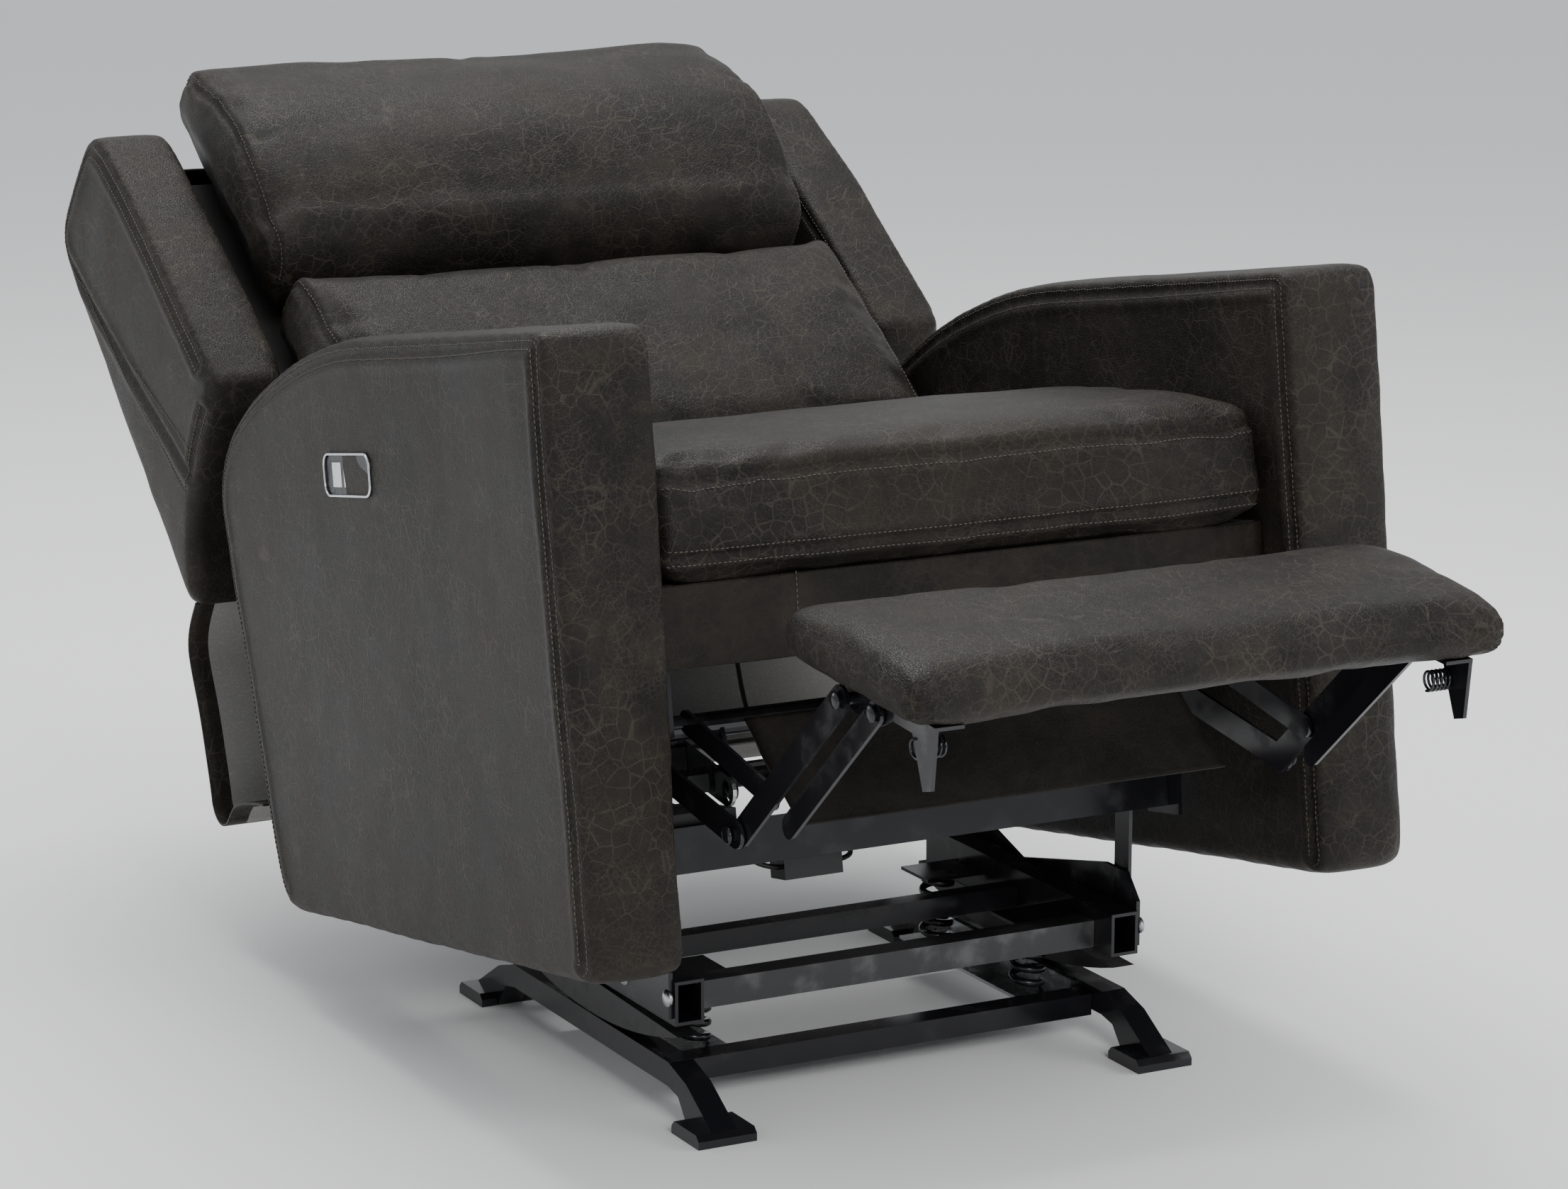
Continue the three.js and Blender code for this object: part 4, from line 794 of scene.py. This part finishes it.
class RECLINER_OT_arms(bpy.types.Operator):
    """Makes both padded arms with their boxing seams"""

    bl_idname = "recliner.arms"
    bl_label = "Arms"

    def execute(self, context):
        outline = arm_outline()
        for word, side in (("right", 1), ("left", -1)):
            x0, x1 = (ARM_INNER, ARM_OUTER) if side > 0 else (-ARM_OUTER, -ARM_INNER)
            arm = padded_slab(f"arm_cover_{word}", outline, x0 + 0.5, x1 - 0.5, 15, 0.5, SEAT)
            even_mesh(arm)
            finish_surface(arm)
            self.plump(arm)
            wrinkle(arm, 0.0014, 0.16, seed=side)
            self.sew(arm, word, side)
            dress(arm, "Hide")
            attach(arm, "seat_frame")
            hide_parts(f"arm_{word}")
        return {"FINISHED"}

    def plump(self, arm):
        """The front of an arm is fuller towards its top."""
        to_upright = SEAT.inverted()
        middle = (ARM_INNER + ARM_OUTER) / 2 * MM
        half = (ARM_OUTER - ARM_INNER) / 2 * MM
        for vertex in arm.data.vertices:
            at = to_upright @ vertex.co
            front = min(1.0, max(0.0, (-0.24 - at.y) / 0.16))
            top = min(1.0, max(0.0, (at.z - 0.22) / 0.30))
            side = 1 if at.x > 0 else -1
            vertex.co.x += side * 0.007 * front * top * (abs(at.x) - middle) / half
            vertex.co.y -= 0.004 * front * max(0.0, 1 - ((abs(at.x) - middle) / half) ** 2)

    def sew(self, arm, word, side):
        """Sews the boxing strip, which runs up the front, over the top and down the rear."""
        for name, x in (("outer", ARM_OUTER + 4), ("inner", ARM_INNER - 4)):
            def along(depth):
                return [SEAT @ (Vector((side * x, y, z)) * MM) for y, z in inset(arm_outline(), depth)[2:]
                        if z > 122 or y < -400]
            seam(arm, f"arm_{name}_seam_{word}", along(13), "seat_frame", [along(17), along(9)],
                 depth=0.0026, width=0.0042, roll=0.0014)


# ------------------------------------------------------------------ seat and back cushions

SEAT_HALF = 306


def seat_outline():
    """The seat cushion's side view, in upright chair coordinates."""
    rear_radius = 132
    angle = math.pi - math.asin((500 - 410) / rear_radius)
    rear_top = (183 + rear_radius * math.cos(angle), 500)
    foot_angle = math.pi - math.asin((418 - 410) / rear_radius)
    arc = [
        (183 + rear_radius * math.cos(angle + (foot_angle - angle) * k / 8),
         410 + rear_radius * math.sin(angle + (foot_angle - angle) * k / 8))
        for k in range(1, 9)
    ]
    return curve_points(
        (-439, 440), ((-434, 494),), ((-432, 518), (-408, 518)), ((-150, 558), rear_top),
    ) + arc + curve_points((-416, 418), ((-439, 418), (-439, 440)))[:-1]


class RECLINER_OT_seat(bpy.types.Operator):
    """Makes the seat cushion with its two front seams"""

    bl_idname = "recliner.seat"
    bl_label = "Seat cushion"

    def execute(self, context):
        half = SEAT_HALF - 6
        seat = padded_slab("seat_cover", inset(seat_outline(), 3), -half, half, 10, 2, SEAT)
        inflate(seat, chair_size().swell, chair_size().most_swell)
        wrinkle(seat, 0.0022, 0.13, seed=3.0)
        upper = [SEAT @ (Vector((x, -441, 510)) * MM) for x in range(-half, half + 1, 12)]
        lower = [SEAT @ (Vector((x, -446, 428)) * MM) for x in range(-half, half + 1, 12)]
        seam(seat, "seat_upper_seam", upper, "seat_frame", [moved(upper, 0, 0, -0.0045)],
             depth=0.0035, width=0.005, roll=0.001)
        seam(seat, "seat_lower_seam", lower, "seat_frame",
             [moved(lower, 0, 0, 0.004), moved(lower, 0, 0, -0.004)], depth=0.003, width=0.004, roll=0.001)
        dress(seat, "Hide")
        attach(seat, "seat_frame")
        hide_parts("seat_cushion")
        return {"FINISHED"}


class RECLINER_OT_back(bpy.types.Operator):
    """Makes the back cushion and the headrest"""

    bl_idname = "recliner.back"
    bl_label = "Back cushion and headrest"

    def execute(self, context):
        cushion = padded_slab(
            "back_cushion_cover", inset(self.cushion_outline(), 3), -295, 295, 10, 2, BACK)
        inflate(cushion, chair_size().swell, chair_size().most_swell)
        wrinkle(cushion, 0.0024, 0.12, seed=5.0)
        for word, side in (("right", 1), ("left", -1)):
            rounded_seam(cushion, f"back_side_seam_{word}", self.cushion_outline(), side, 299, BACK, "back",
                         keep=lambda n, d: n < -30 and d > 60)
        dress(cushion, "Hide")
        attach(cushion, "back")
        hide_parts("back_cushion")

        rest = padded_slab("headrest_cover", inset(self.headrest_outline(), 2), -294, 294, 14, 3, BACK)
        inflate(rest, chair_size().swell, chair_size().most_swell)
        wrinkle(rest, 0.0030, 0.14, seed=9.0)
        for word, side in (("right", 1), ("left", -1)):
            rounded_seam(rest, f"headrest_seam_{word}", self.headrest_outline(), side, 300, BACK,
                         "headrest", depth=0.004, keep=lambda n, d: n < -30)
        dress(rest, "Hide")
        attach(rest, "headrest")
        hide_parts("headrest")
        return {"FINISHED"}

    def cushion_outline(self):
        return curve_points(
            (-100, 24), ((-112, 28), (-110, 60)), ((-120, 166), (-108, 282)), ((-106, 332), (-62, 332)),
            ((-14, 332),), ((-3, 320),), ((-3, 30),))

    def headrest_outline(self):
        return curve_points(
            (-16, 345), ((-62, 345),), ((-108, 347), (-108, 397)), ((-156, 500), (-98, 614)),
            ((-90, 660), (-54, 660)), ((-26, 660),), ((-7, 660), (-7, 640)), ((-7, 357),))


# ------------------------------------------------------------------ wings and outside back

WING_OUTER = 400
WING_INNER = 320


def wing_outline():
    return curve_points(
        (-58, 220), ((-70, 400), (-58, 562)), ((-52, 612), (-12, 614)), ((75, 628),),
        ((115, 626), (119, 588)), ((182, 161),), ((164, 141),), ((126, 212), (-20, 208)))


class RECLINER_OT_wings(bpy.types.Operator):
    """Makes both wings and the outside back"""

    bl_idname = "recliner.wings"
    bl_label = "Wings and outside back"

    def execute(self, context):
        for word, side in (("right", 1), ("left", -1)):
            x0, x1 = (WING_INNER, WING_OUTER) if side > 0 else (-WING_OUTER, -WING_INNER)
            wing = padded_slab(f"wing_cover_{word}", wing_outline(), x0 + 1, x1 - 0.5, 13, 2, BACK)
            even_mesh(wing)
            finish_surface(wing)
            wrinkle(wing, 0.0018, 0.13, seed=12.0 + side)
            for name, x in (("outer", WING_OUTER + 2), ("inner", WING_INNER - 2)):
                def along(depth):
                    return [BACK @ (Vector((side * x, n, d)) * MM)
                            for n, d in inset(wing_outline(), depth)[1:] if n < 118 and d > 216]
                seam(wing, f"wing_{name}_seam_{word}", along(14), "back", [along(18), along(10)],
                     depth=0.0028, width=0.0045, roll=0.0016)
            dress(wing, "Hide")
            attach(wing, "back")
            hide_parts(f"wing_{word}")
        self.outside()
        return {"FINISHED"}

    def outside(self):
        """The taut leather over the rear of the back, its edges turned in."""
        line = [(4, 600), (40, 606), (81, 610), (99, 600), (107, 582), (129, 427), (152, 300), (176, 167)]
        bm = bmesh.new()
        rows = []
        for n, d in self.filled(line, 14):
            rows.append([bm.verts.new((x, n, d)) for x in range(-315, 316, 18)])
        for a, b in zip(rows, rows[1:]):
            for i in range(len(a) - 1):
                bm.faces.new((a[i], a[i + 1], b[i + 1], b[i]))
        bm.transform(BACK @ Matrix.Scale(MM, 4))
        panel = new_object("outside_back_cover", bm)
        wall = panel.modifiers.new("Wall", "SOLIDIFY")
        wall.thickness = 0.008
        wall.offset = 0
        evaluated(panel)
        finish_surface(panel, 1)
        wrinkle(panel, 0.0015, 0.16, seed=20.0)
        dress(panel, "Hide")
        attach(panel, "back")
        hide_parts("outside_back")

    def filled(self, line, step):
        out = [line[0]]
        for a, b in zip(line, line[1:]):
            count = max(1, round(math.dist(a, b) / step))
            out += [(a[0] + (b[0] - a[0]) * k / count, a[1] + (b[1] - a[1]) * k / count)
                    for k in range(1, count + 1)]
        return out


# ------------------------------------------------------------------ footrest, flaps and aprons

class RECLINER_OT_footrest(bpy.types.Operator):
    """Makes the footrest pad and the flap behind it"""

    bl_idname = "recliner.footrest"
    bl_label = "Footrest"

    def execute(self, context):
        rear, front, top, thick = 84, -144, 57, 44
        low = top - thick
        outline = [(rear, low + 14), (rear, top - 14), (rear - 12, top - 2), (rear - 50, top + 2),
                   (-30, top + 4), (front + 26, top + 1), (front + 8, top - 7), (front, low + 18),
                   (front + 6, low + 5),
                   (front + 22, low + 1), (rear - 14, low + 1)]
        outline = inset(smooth_outline(outline, 2), 2)
        pad = padded_slab("footrest_cover", outline, -291, 291, 16, 3, PAD, step=8)
        self.round_corners(pad, rear, front)
        inflate(pad, chair_size().swell * 0.8, chair_size().most_swell * 0.7)
        wrinkle(pad, 0.0026, 0.11, seed=31.0)
        self.pucker(pad, front)
        dress(pad, "Hide")
        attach(pad, "footrest")
        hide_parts("footrest_pad")
        self.flap()
        return {"FINISHED"}

    def round_corners(self, pad, rear, front):
        """Rounds the pad's corners seen from above, and narrows it a little towards its front."""
        to_pad = PAD.inverted()
        rear_radius, front_radius, half = 44.0, 26.0, 291.0
        for vertex in pad.data.vertices:
            y = (to_pad @ vertex.co).y / MM
            over_rear = min(rear_radius, max(0.0, y - (rear - rear_radius)))
            over_front = min(front_radius, max(0.0, front + front_radius - y))
            cut = rear_radius - math.sqrt(rear_radius ** 2 - over_rear ** 2)
            cut += front_radius - math.sqrt(front_radius ** 2 - over_front ** 2)
            cut += 11.0 * max(0.0, (rear - y) / (rear - front))
            vertex.co.x *= (half - cut * 0.8) / half

    def pucker(self, pad, front):
        """Small gathers where the leather turns round the front corners."""
        mesh = pad.data
        points, normals = arrays(mesh)
        for side in (1, -1):
            corner = np.array(PAD @ (Vector((side * 272, front + 8, 30)) * MM))
            gap = points - corner
            near = np.exp(-((np.linalg.norm(gap, axis=1) / 0.032) ** 2))
            angle = np.arctan2(gap[:, 2], gap[:, 0] * side)
            points += normals * (0.0016 * near * np.sin(angle * 15))[:, None]
        put_points(mesh, points)

    def flap(self):
        low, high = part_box("mid_flap")
        hinge = Vector(JOINTS["mid_flap_swing"]["pos_m"])
        place = Matrix.Translation(hinge) @ Matrix.Rotation(math.radians(14) - TILT, 4, "X")
        outline = smooth_outline([(-3, -8), (87, -8), (92, -3), (92, 3), (87, 8), (-3, 8)], 2)
        width = (high.x - low.x) / 2 / MM
        flap = padded_slab("mid_flap_cover", outline, -width, width, 6, 1, place, step=7)
        even_mesh(flap)
        finish_surface(flap)
        wrinkle(flap, 0.0016, 0.09, seed=40.0)
        dress(flap, "Hide")
        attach(flap, "mid_flap")
        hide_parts("mid_flap")


def cloth_strip(name, line, half, thickness, folds=None, step=10):
    """A sheet that follows a line in (y, z) metres of the part's frame, with soft folds."""
    bm = bmesh.new()
    columns = max(8, round(2 * half / (step * MM)))
    rows = []
    for i, (y, z) in enumerate(line):
        row = []
        for k in range(columns + 1):
            x = -half + 2 * half * k / columns
            drop = folds(x, i / (len(line) - 1)) if folds else (0.0, 0.0)
            row.append(bm.verts.new((x, y + drop[0], z + drop[1])))
        rows.append(row)
    for a, b in zip(rows, rows[1:]):
        for i in range(columns):
            bm.faces.new((a[i], a[i + 1], b[i + 1], b[i]))
    made = new_object(name, bm)
    wall = made.modifiers.new("Wall", "SOLIDIFY")
    wall.thickness = thickness
    wall.offset = 0
    return evaluated(made)


def spaced(points, step=0.008):
    """Points along a rounded open line."""
    for _ in range(2):
        cut = [points[0]]
        for a, b in zip(points, points[1:]):
            cut.append((a[0] * 0.75 + b[0] * 0.25, a[1] * 0.75 + b[1] * 0.25))
            cut.append((a[0] * 0.25 + b[0] * 0.75, a[1] * 0.25 + b[1] * 0.75))
        points = cut + [points[-1]]
    out = [points[0]]
    for a, b in zip(points, points[1:]):
        count = max(1, math.ceil(math.dist(a, b) / step))
        out += [(a[0] + (b[0] - a[0]) * k / count, a[1] + (b[1] - a[1]) * k / count)
                for k in range(1, count + 1)]
    return out


def seat_line(points):
    """Upright chair points, in mm, as (y, z) in the part's frame, in metres."""
    out = []
    for y, z in points:
        at = SEAT @ (Vector((0, y, z)) * MM)
        out.append((at.y, at.z))
    return out


class RECLINER_OT_aprons(bpy.types.Operator):
    """Makes the front panel, the valance and the rear flap"""

    bl_idname = "recliner.aprons"
    bl_label = "Front panel, valance and rear flap"

    def execute(self, context):
        self.front_panel()
        self.valance()
        self.rear_flap()
        return {"FINISHED"}

    def declare(self, piece, line, half, held, rests_on):
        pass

    def front_panel(self):
        line = spaced(seat_line([(-403, 415), (-400, 358), (-399, 345)]))
        half = 0.303
        panel = cloth_strip("front_panel", line, half, 0.0022,
                            lambda x, t: (0.0012 * math.sin(x * 41) * math.sin(math.pi * t), 0.0))
        dress(panel, "Hide inside")
        seam_x = -0.16
        stitches = [Vector((seam_x, y - 0.0016, z)) for y, z in line]
        stitch_lines("front_panel_seam", [stitches], "seat_frame")
        self.declare(panel, line, half, "stretched", ["seat_deck"])
        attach(panel, "seat_frame")
        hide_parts("front_fascia")

    def valance(self):
        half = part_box("valance")[1].x
        knee = Vector(JOINTS["front_link_swing"]["pos_m"])
        top = SEAT @ (Vector((0, -382, 296)) * MM)
        middle = ((top.y + knee.y) / 2 - 0.004, (top.z + knee.z) / 2 - 0.006)
        line = spaced([(top.y, top.z), middle, (knee.y, knee.z)])
        sheet = cloth_strip("valance_cover", line, half, 0.002,
                            lambda x, t: (0.0, 0.0016 * math.sin(x * 26 + 1.0) * math.sin(math.pi * t)))
        dress(sheet, "Hide inside")
        hem = [Vector((x * MM, line[-4][0], line[-4][1] - 0.0015)) for x in range(-200, 201, 8)]
        stitch_lines("valance_hem", [on_surface(sheet, hem, 0.0004)], "rear_links")
        self.declare(sheet, line, half, "hung", ["torque_tube"])
        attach(sheet, "rear_links")
        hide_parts("valance")

    def rear_flap(self):
        foot = BACK @ (Vector((0, 170, 161)) * MM)
        turn = [(-56 + 26 * math.cos(math.pi * k / 8), -190 - 26 * math.sin(math.pi * k / 8))
                for k in range(1, 8)]
        local = [(-1, -7), (18, -34), (24, -56), (16, -78), (-4, -116), (-22, -166), (-30, -190), *turn,
                 (-96, -186), (-136, -175), (-170, -169)]
        line = [(foot.y + y * MM, foot.z + z * MM) for y, z in local]
        line = spaced(line)
        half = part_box("rear_flap")[1].x
        flap = cloth_strip("rear_flap_cover", line, half, 0.0022,
                           lambda x, t: (0.0010 * math.sin(x * 19) * math.sin(math.pi * t), 0.0))
        flap.data.materials.clear()
        flap.data.materials.append(MATERIALS["Hide"])
        flap.data.materials.append(MATERIALS["Lining cloth"])
        self.paint_inner(flap)
        self.declare(flap, line, half, "hung", ["outside_back_cover"])
        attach(flap, "back")
        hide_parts("rear_flap")

    def paint_inner(self, flap):
        """The face towards the chair is grey cloth with leather bands at its edges."""
        mesh = flap.data
        mesh.update()
        chair_side = Vector((0, -1, 0.35))
        width = max(v.co.x for v in mesh.vertices)
        for polygon in mesh.polygons:
            bands = width - abs(polygon.center.x) < 0.02
            towards = polygon.normal.dot(chair_side) > 0.25
            if towards and not bands:
                polygon.material_index = 1


# ------------------------------------------------------------------ hardware

class RECLINER_OT_hardware(bpy.types.Operator):
    """Gives every frame part its finish, and adds bolts, rims and springs"""

    bl_idname = "recliner.hardware"
    bl_label = "Mechanism and controls"

    def execute(self, context):
        for name, node in NODES.items():
            for look, starts in NODE_LOOKS.items():
                if any(name.startswith(start) for start in starts):
                    node.data.materials.clear()
                    node.data.materials.append(MATERIALS[look])
        self.rivets()
        self.panel_rim()
        self.springs()
        self.channel_bolts()
        return {"FINISHED"}

    def rivets(self):
        """Domed rivet heads on every pin of the linkage."""
        pins = {
            "seat_frame": [("footrest_extend", 0.2795), ("upper_link_swing", 0.2795)],
            "front_links": [("front_link_swing", 0.2745)],
            "footrest": [("footrest_swing", 0.2665), ("parallel_link_swing", 0.2565)],
        }
        for body, heads in pins.items():
            bm = bmesh.new()
            for joint, x in heads:
                at = Vector(JOINTS[joint]["pos_m"])
                for side in (1, -1):
                    self.dome(bm, Vector((side * x, at.y, at.z)), 0.0078, 0.0032)
            heads_piece = new_object(f"rivets_{body}", bm)
            dress(heads_piece, "Gloss enamel")
            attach(heads_piece, body)

    def dome(self, bm, at, radius, height):
        made = bmesh.ops.create_uvsphere(bm, u_segments=14, v_segments=8, radius=1.0)
        turn = Matrix.Rotation(math.pi / 2, 4, "Y")
        scale = Matrix.Diagonal((height, radius, radius, 1))
        bmesh.ops.transform(bm, matrix=Matrix.Translation(at) @ scale @ turn, verts=made["verts"])

    def panel_rim(self):
        """A bright bevelled rim round the control panel."""
        bm = bmesh.new()
        outline = []
        for cy, cz, start in ((42, 8, 0), (-42, 8, 90), (-42, -8, 180), (42, -8, 270)):
            for k in range(7):
                angle = math.radians(start + 15 * k)
                outline.append((-26 + cy + 12 * math.cos(angle), 515 + cz + 12 * math.sin(angle)))
        rings = []
        for x, d in ((-400.5, 0), (-402.2, 0.4), (-402.6, 1.8), (-402.0, 2.6), (-400.5, 2.6)):
            rings.append([bm.verts.new((x, y, z)) for y, z in inset(outline, d)])
        for a, b in zip(rings, rings[1:] + rings[:1]):
            for i in range(len(outline)):
                j = (i + 1) % len(outline)
                bm.faces.new((a[i], a[j], b[j], b[i]))
        bm.transform(SEAT @ Matrix.Scale(MM, 4))
        rim = new_object("panel_rim", bm)
        dress(rim, "Bright rim")
        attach(rim, "seat_frame")

    def springs(self):
        """Coils: the rocker's four, the return spring, and one on each lock plate."""
        for name in [n for n in NODES if n.startswith("rocker_spring_")]:
            low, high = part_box(name)
            middle = (low + high) / 2
            wire = 0.0035
            place = Matrix.Translation((middle.x, middle.y, low.z + wire))
            spring = coil(f"coil_{name}", 4.5, (high.x - low.x) / 2 - wire, high.z - low.z - 2 * wire, wire,
                          place, "Gloss enamel")
            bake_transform(spring)
            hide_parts(name)
        points = [v.co for v in NODES["return_spring"].data.vertices]
        low = min(p.y for p in points)
        high = max(p.y for p in points)
        ends = []
        for edge in (low, high):
            near = [p for p in points if abs(p.y - edge) < 0.012]
            ends.append(sum(near, Vector()) / len(near))
        run_line = ends[1] - ends[0]
        turn = run_line.to_track_quat("Z", "Y").to_matrix().to_4x4()
        spring = coil("return_coil", 26, 0.0066, run_line.length, 0.0013,
                      Matrix.Translation(ends[0]) @ turn, "Zinc")
        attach(spring, "seat_frame")
        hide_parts("return_spring")
        for word, side in (("right", 1), ("left", -1)):
            place = PAD @ Matrix.Translation(Vector((side * 225, -96, -12)) * MM) @ Matrix.Rotation(
                side * math.pi / 2, 4, "Y")
            spring = coil(f"lock_spring_{word}", 6, 0.008, 0.024, 0.0012, place,
                          "Gloss enamel")
            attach(spring, "footrest")

    def channel_bolts(self):
        """Bolts through the cam channels."""
        for word, side in (("right", 1), ("left", -1)):
            low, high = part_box(f"riser_plate_{word}")
            face = high.x if side > 0 else low.x
            bm = bmesh.new()
            for y, z in ((-0.285, 0.112), (-0.20, 0.108), (-0.05, 0.108)):
                self.dome(bm, Vector((face, y, z)), 0.008, 0.004)
            bolts = new_object(f"channel_bolts_{word}", bm)
            dress(bolts, "Zinc")
            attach(bolts, "rocker")


# ------------------------------------------------------------------ motor lead

LEAD_ROUTE = [
    (-155.6, -206, 176), (-150, -206, 176), (-141, -206, 170), (-130, -206, 158), (-116, -205, 148),
    (-98, -202, 142), (-78, -200, 140), (-52, -196, 139), (-26, -188, 139), (-6, -170, 140), (8, -140, 142),
    (16, -104, 147), (18, -66, 156), (14, -30, 174), (6, 0, 206), (0, 22, 250), (-2, 34, 300),
    (-2, 38, 371.6),
]


def catmull(points, steps):
    """A smooth line through the points."""
    out = []
    padded = [points[0] * 2 - points[1], *points, points[-1] * 2 - points[-2]]
    for a, b, c, d in zip(padded, padded[1:], padded[2:], padded[3:]):
        for k in range(steps):
            t = k / steps
            out.append(0.5 * ((2 * b) + (c - a) * t + (2 * a - 5 * b + 4 * c - d) * t * t
                              + (3 * b - a - 3 * c + d) * t ** 3))
    return out + [points[-1]]


class RECLINER_OT_lead(bpy.types.Operator):
    """Lays the motor's lead from the motor to the seat deck"""

    bl_idname = "recliner.lead"
    bl_label = "Motor lead"

    def execute(self, context):
        route = [SEAT @ (Vector(p) * MM) for p in LEAD_ROUTE]
        line = catmull(route, 3)
        data = bpy.data.curves.new("lead", "CURVE")
        data.dimensions = "3D"
        data.bevel_depth = 0.0024
        data.bevel_resolution = 3
        data.use_fill_caps = True
        spline = data.splines.new("POLY")
        spline.points.add(len(line) - 1)
        for point, place in zip(spline.points, line):
            point.co = (*place, 1)
        lead = bpy.data.objects.new("lead", data)
        context.scene.collection.objects.link(lead)
        data.materials.append(MATERIALS["Cable skin"])
        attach(lead, "seat_frame")
        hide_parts("motor_lead")
        return {"FINISHED"}


# ------------------------------------------------------------------ stage

class RECLINER_OT_stage(bpy.types.Operator):
    """Sets the camera, the floor and the lights"""

    bl_idname = "recliner.stage"
    bl_label = "Stage"

    def execute(self, context):
        scene = context.scene
        camera = bpy.data.objects.new("camera", bpy.data.cameras.new("camera"))
        camera.data.sensor_width = 36
        camera.data.lens = 105.4
        camera.location = Vector((-1.9103, -3.66343, 1.3097)) + SHIFT
        camera.rotation_euler = Euler((math.radians(77.44), math.radians(-0.08), math.radians(-27.75)))
        camera.data.clip_end = 60
        scene.collection.objects.link(camera)
        scene.camera = camera
        self.floor()
        self.lights(scene)
        return {"FINISHED"}

    def floor(self):
        bm = bmesh.new()
        bmesh.ops.create_grid(bm, x_segments=1, y_segments=1, size=12)
        floor = new_object("floor", bm, smooth=False)
        paint = bpy.data.materials.new("Pale floor")
        paint.use_nodes = True
        shader = paint.node_tree.nodes["Principled BSDF"]
        shader.inputs["Base Color"].default_value = (0.94, 0.94, 0.94, 1)
        shader.inputs["Roughness"].default_value = 0.9
        floor.data.materials.append(paint)

    def lights(self, scene):
        world = bpy.data.worlds.new("studio")
        scene.world = world
        world.use_nodes = True
        back = world.node_tree.nodes["Background"]
        back.inputs["Color"].default_value = (0.95, 0.97, 1.0, 1)
        back.inputs["Strength"].default_value = 0.72
        for name, at, size, power in (
            ("key", (-0.4, -3.6, 2.2), 1.4, 58), ("fill", (3.4, -2.0, 2.4), 2.4, 60),
            ("top", (0.2, 1.4, 3.6), 2.4, 110), ("rim", (-3.4, 2.6, 1.8), 1.2, 22),
        ):
            lamp = bpy.data.objects.new(name, bpy.data.lights.new(name, "AREA"))
            lamp.data.size = size
            lamp.data.energy = power
            lamp.location = at
            aim = Vector((0, 0, 0.45)) - Vector(at)
            lamp.rotation_euler = aim.to_track_quat("-Z", "Y").to_euler()
            scene.collection.objects.link(lamp)


class RECLINER_OT_materials(bpy.types.Operator):
    """Makes every material"""

    bl_idname = "recliner.materials"
    bl_label = "Materials"

    def execute(self, context):
        make_materials()
        return {"FINISHED"}


STEPS = ("materials", "stage", "lead", "arms", "seat", "back", "wings", "footrest", "aprons", "hardware")


class RECLINER_PT_panel(bpy.types.Panel):
    """Lists the pieces and their settings"""

    bl_label = "Recliner"
    bl_idname = "RECLINER_PT_panel"
    bl_space_type = "VIEW_3D"
    bl_region_type = "UI"
    bl_category = "Recliner"

    def draw(self, context):
        for group in (context.scene.recliner_size, context.scene.recliner_look):
            for name in group.__annotations__:
                self.layout.prop(group, name)
        for step in STEPS:
            self.layout.operator(f"recliner.{step}")


CLASSES = (
    ReclinerSize, ReclinerLook, RECLINER_OT_materials, RECLINER_OT_stage, RECLINER_OT_lead,
    RECLINER_OT_arms, RECLINER_OT_seat, RECLINER_OT_back, RECLINER_OT_wings, RECLINER_OT_footrest,
    RECLINER_OT_aprons,
    RECLINER_OT_hardware, RECLINER_PT_panel,
)


def register():
    for each in CLASSES:
        bpy.utils.register_class(each)
    bpy.types.Scene.recliner_size = bpy.props.PointerProperty(type=ReclinerSize)
    bpy.types.Scene.recliner_look = bpy.props.PointerProperty(type=ReclinerLook)


def unregister():
    del bpy.types.Scene.recliner_look
    del bpy.types.Scene.recliner_size
    for each in reversed(CLASSES):
        bpy.utils.unregister_class(each)


def main():
    register()
    for step in STEPS:
        getattr(bpy.ops.recliner, step)()


if __name__ == "__main__":
    main()
